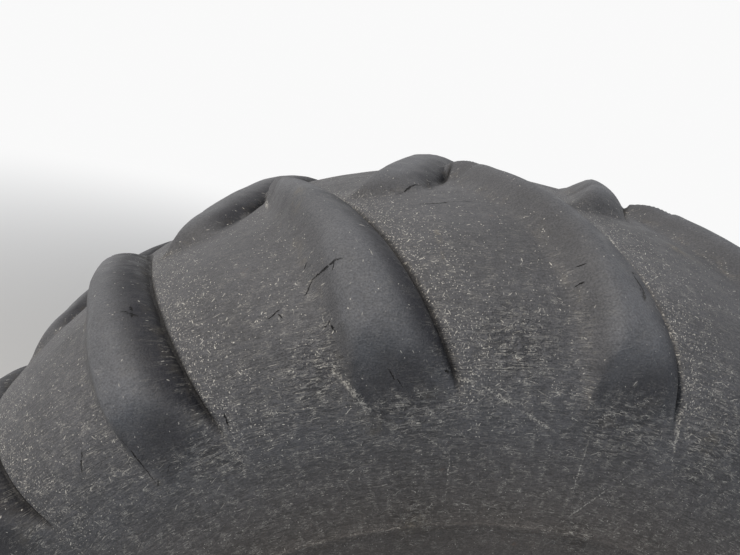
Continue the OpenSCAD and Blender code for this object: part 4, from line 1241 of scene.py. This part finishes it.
def makeAxleHousing(m):
    outline = rounded([
        (m.spigot, m.bore, 1.5), (m.spigot, m.spigotR, 1.2), (0, m.spigotR, 0.8), (0, m.flangeR, 1.5),
        (m.flangeT, m.flangeR, 3.5), (m.flangeT, m.neckR, 9), (m.neckEnd, m.tube, 40),
        (m.joint - m.jointT - 12, m.tube, 8), (m.joint - m.jointT, m.jointR, 3), (m.joint, m.jointR, 1),
        (m.joint, m.bore, 1.5)])
    # more rings along the neck and the tube, so that the ribs can blend into them
    line, ringEvery, ringsTo = [], 2.5, 190
    for a, b in zip(outline, outline[1:] + outline[:1]):
        line.append(a)
        if m.tube - 1 < min(a[1], b[1]) and a[1] < m.neckR + 12 and m.flangeT <= a[0] and b[0] <= ringsTo:
            steps = int(math.hypot(b[0] - a[0], b[1] - a[1]) / ringEvery)
            line += [tuple(p + (q - p) * k / steps for p, q in zip(a, b)) for k in range(1, steps)]

    def ribbed(z, r, angles):
        if not (m.flangeT <= z <= m.ribEnd + 10 and m.tube - 1 < r < m.neckR + 4):
            return z, r
        top = np.interp(z, [m.flangeT, m.ribToe, m.ribEnd], [m.ribR, m.ribR, m.tube - 4])
        step = 2 * math.pi / m.ribs
        off = np.abs((angles - math.radians(m.ribStart) + step / 2) % step - step / 2) * r
        rib = top - np.clip(off - m.ribT / 2 + 2, 0, None) * 5
        rib = rib - 1.4 * smoothStep(m.ribT / 2 - 4, m.ribT / 2 - 1, off)
        soft = 7.0
        h = np.clip(0.5 + 0.5 * (rib - r) / soft, 0, 1)
        blended = r * (1 - h) + rib * h + soft * h * (1 - h)
        return z, np.maximum(blended, r)
    shape = lathe(line, 540, True, ribbed)
    piece = metalPiece("axle_housing_casting", shape, "axle_end", "hub_paint", "axle_housing")
    # bolt holes with a small chamfer at each end, cut through the flange
    hole, back = m.holeR, m.flangeT
    drill = lathe([
        (-1, 0, 0), (-1, hole + 2.2, 1), (1.2, hole, 1), (back - 1.2, hole, 1), (back + 1, hole + 2.2, 1),
        (back + 1, 0, 0)], 48, False)
    co, faces, _ = spread(drill, m.holes, m.holeCircle)
    drills = newMesh("drills", inFrame(co), faces)
    cut = piece.modifiers.new("holes", "BOOLEAN")
    cut.operation, cut.object, cut.solver = "DIFFERENCE", drills, "EXACT"
    drilled = bpy.data.meshes.new_from_object(piece.evaluated_get(bpy.context.evaluated_depsgraph_get()))
    piece.modifiers.clear()
    piece.data = drilled
    drilled.set_sharp_from_angle(angle=math.radians(40))
    bpy.data.objects.remove(drills)
    return piece


makeAxleHousing(Sizes(**axle))


spindle = {
    "joint": 237, "flangeEnd": 259, "flangeR": 136, "bore": 46, "shoulder": 94, "shoulderEnd": 282,
    "inLand": 90, "inEnd": 332, "taperFrom": 338, "taperR": 86, "outLand": 76, "outFrom": 402, "end": 470,
}
sealGuard = {"from": 241, "to": 294, "in": 136.3, "r": 164, "thick": 6}
bush = {"from": -8, "to": 36, "in": 30.05, "r": 45.95}


def makeAxleInside(m, g, b):
    spindleLine = [
        (m.joint, m.bore, 1), (m.joint, m.flangeR, 1), (m.flangeEnd, m.flangeR, 2),
        (m.flangeEnd, m.shoulder, 4), (m.shoulderEnd, m.shoulder, 1), (m.shoulderEnd, m.inLand, 2),
        (m.inEnd, m.inLand, 1), (m.taperFrom, m.taperR, 3), (m.outFrom, m.outLand, 3),
        (m.end - 4, m.outLand, 1), (m.end, m.outLand - 4, 1), (m.end, m.bore, 2)]
    inner, base = g["r"] - g["thick"], g["from"] + g["thick"]
    guardLine = [
        (g["from"], g["in"], 1), (g["from"], g["r"], 4), (g["to"], g["r"], 1.5), (g["to"], inner, 1.5),
        (base, inner, 3), (base, g["in"], 1)]
    bushLine = [
        (b["from"], b["in"], 1.2), (b["from"], b["r"], 1), (b["to"], b["r"], 1), (b["to"], b["in"], 1.2)]
    for name, line, columns, slotName, node in (
            ("turned_spindle", spindleLine, 192, "turned_steel", "spindle"),
            ("pressed_seal_guard", guardLine, 192, "hub_paint", "seal_guard"),
            ("bored_bush", bushLine, 144, "bush_bronze", "shaft_bush")):
        metalPiece(name, lathe(rounded(line), columns), "axle_end", slotName, node)


makeAxleInside(Sizes(**spindle), sealGuard, bush)

halfShaft = {
    "in": -82, "splineEnd": -22, "out": 500, "r": 30, "splineR": 27, "rootR": 24.2, "centreR": 7,
    "teeth": 24, "toothDeep": 2.6,
}


def makeHalfShaft(m):
    # involute teeth on the inner end, cut into a bar that is turned and ground further out
    low, high = m["in"], m["splineEnd"]

    def splines(z, r, angles):
        if z > high - 0.5 or r <= m["rootR"]:
            return z, r
        gap = smoothStep(0.25, -0.25, np.cos(angles * m["teeth"])) * np.clip((high - 1 - z) / 7, 0, 1)
        return z, np.minimum(r, m["splineR"]) - gap * m["toothDeep"]
    line = rounded([
        (low, 0, 0), (low, m["centreR"], 0), (low, m["splineR"] - 3.4, 0.6), (low + 3, m["splineR"], 0.8),
        (high - 3, m["splineR"], 0), (high, m["splineR"], 1), (high + 0.5, m["r"], 1),
        (m["out"], m["r"], 2), (m["out"], 0, 0)], False)
    runOut = [(high - z, m["splineR"], 0.3) for z in (8, 7, 6, 5, 4.2, 3.6)]
    line = sorted(line[:-2] + runOut, key=lambda p: p[0]) + line[-2:]
    shape = lathe(line, 288, False, splines)
    metalPiece("splined_half_shaft", shape, "half_shaft", "turned_steel", "half_shaft")


makeHalfShaft(halfShaft)

# the valve's guard keeps its CAD shape, with its cut edges rounded
guard = nodes["valve_guard"]
soft = guard.modifiers.new("rounded", "BEVEL")
soft.width, soft.segments, soft.limit_method = 1.2 * mm, 3, "ANGLE"
guard.data.materials.clear()
guard.data.materials.append(finishes["wheel_paint"])
print("axle end made")


# floor, backdrop and light

studio = {
    "floorColour": "#dededb",
    "floorHalf": 30,       # m
    "fadeFrom": 2.2, "fadeTo": 6.5,   # m from the wheel: the floor turns into the white backdrop
    "keyAt": (-4.0, -1.9, 4.9),
    "keyAim": 0.5,         # m above the axle
    "keySize": 0.8,        # m
    "keyPower": 222,
    "keyColour": "#fff3e4",
    "skyColour": "#dfe7f5",
    "skyStrength": 0.44,
    "whiteStrength": 0.95,   # of the background that the camera sees
}


def seenWhite(add):
    # 1 where the camera sees the background, also in metal
    path = add("LightPath")
    seen = add("Math MAXIMUM", path.outputs["Is Camera Ray"], path.outputs["Is Glossy Ray"])
    return add("Math MAXIMUM", seen, path.outputs["Is Transmission Ray"])


def makeStudio(s):
    mat, add = newMaterial("pale matt floor paint")
    base = add("BsdfPrincipled", {"Base Color": s["floorColour"], "Roughness": 0.9})
    place = add("TexCoord").outputs["Object"]
    far = add("VectorMath LENGTH", place).outputs["Value"]
    fade = add("MapRange", far, s["fadeFrom"], s["fadeTo"], interpolation_type="SMOOTHSTEP")
    fade = add("Math MULTIPLY", fade, seenWhite(add))
    white = add("Emission", {"Color": (1, 1, 1, 1), "Strength": s["whiteStrength"]})
    mix = add("MixShader", fade, base, white)
    add("OutputMaterial", {"Surface": mix})
    half, ground = s["floorHalf"], cadBox[0].z - 0.5 * mm
    corners = [(-half, -half, ground), (half, -half, ground), (half, half, ground), (-half, half, ground)]
    floor = newMesh("floor", corners, [(0, 1, 2, 3)])
    floor.data.materials.append(mat)

    world = bpy.data.worlds.new("studio")
    bpy.context.scene.world = world
    world.use_nodes = True
    world.node_tree.nodes.clear()
    add = partial(addNode, world.node_tree)
    light = add("Background", {"Color": s["skyColour"], "Strength": s["skyStrength"]})
    seen = add("Background", {"Color": (1, 1, 1, 1), "Strength": s["whiteStrength"]})
    mix = add("MixShader", seenWhite(add), light, seen)
    add("OutputWorld", {"Surface": mix})

    key = bpy.data.lights.new("key", "AREA")
    key.shape, key.size, key.energy = "DISK", s["keySize"], s["keyPower"]
    key.color = srgb(s["keyColour"])[:3]
    lamp = newObject("key", key)
    lamp.location = s["keyAt"]
    target = Vector((0, wheelMiddle, s["keyAim"]))
    lamp.rotation_euler = (target - lamp.location).to_track_quat("-Z", "Y").to_euler()


makeStudio(studio)
print("studio made")
bpy.context.scene.view_settings.view_transform = "Standard"
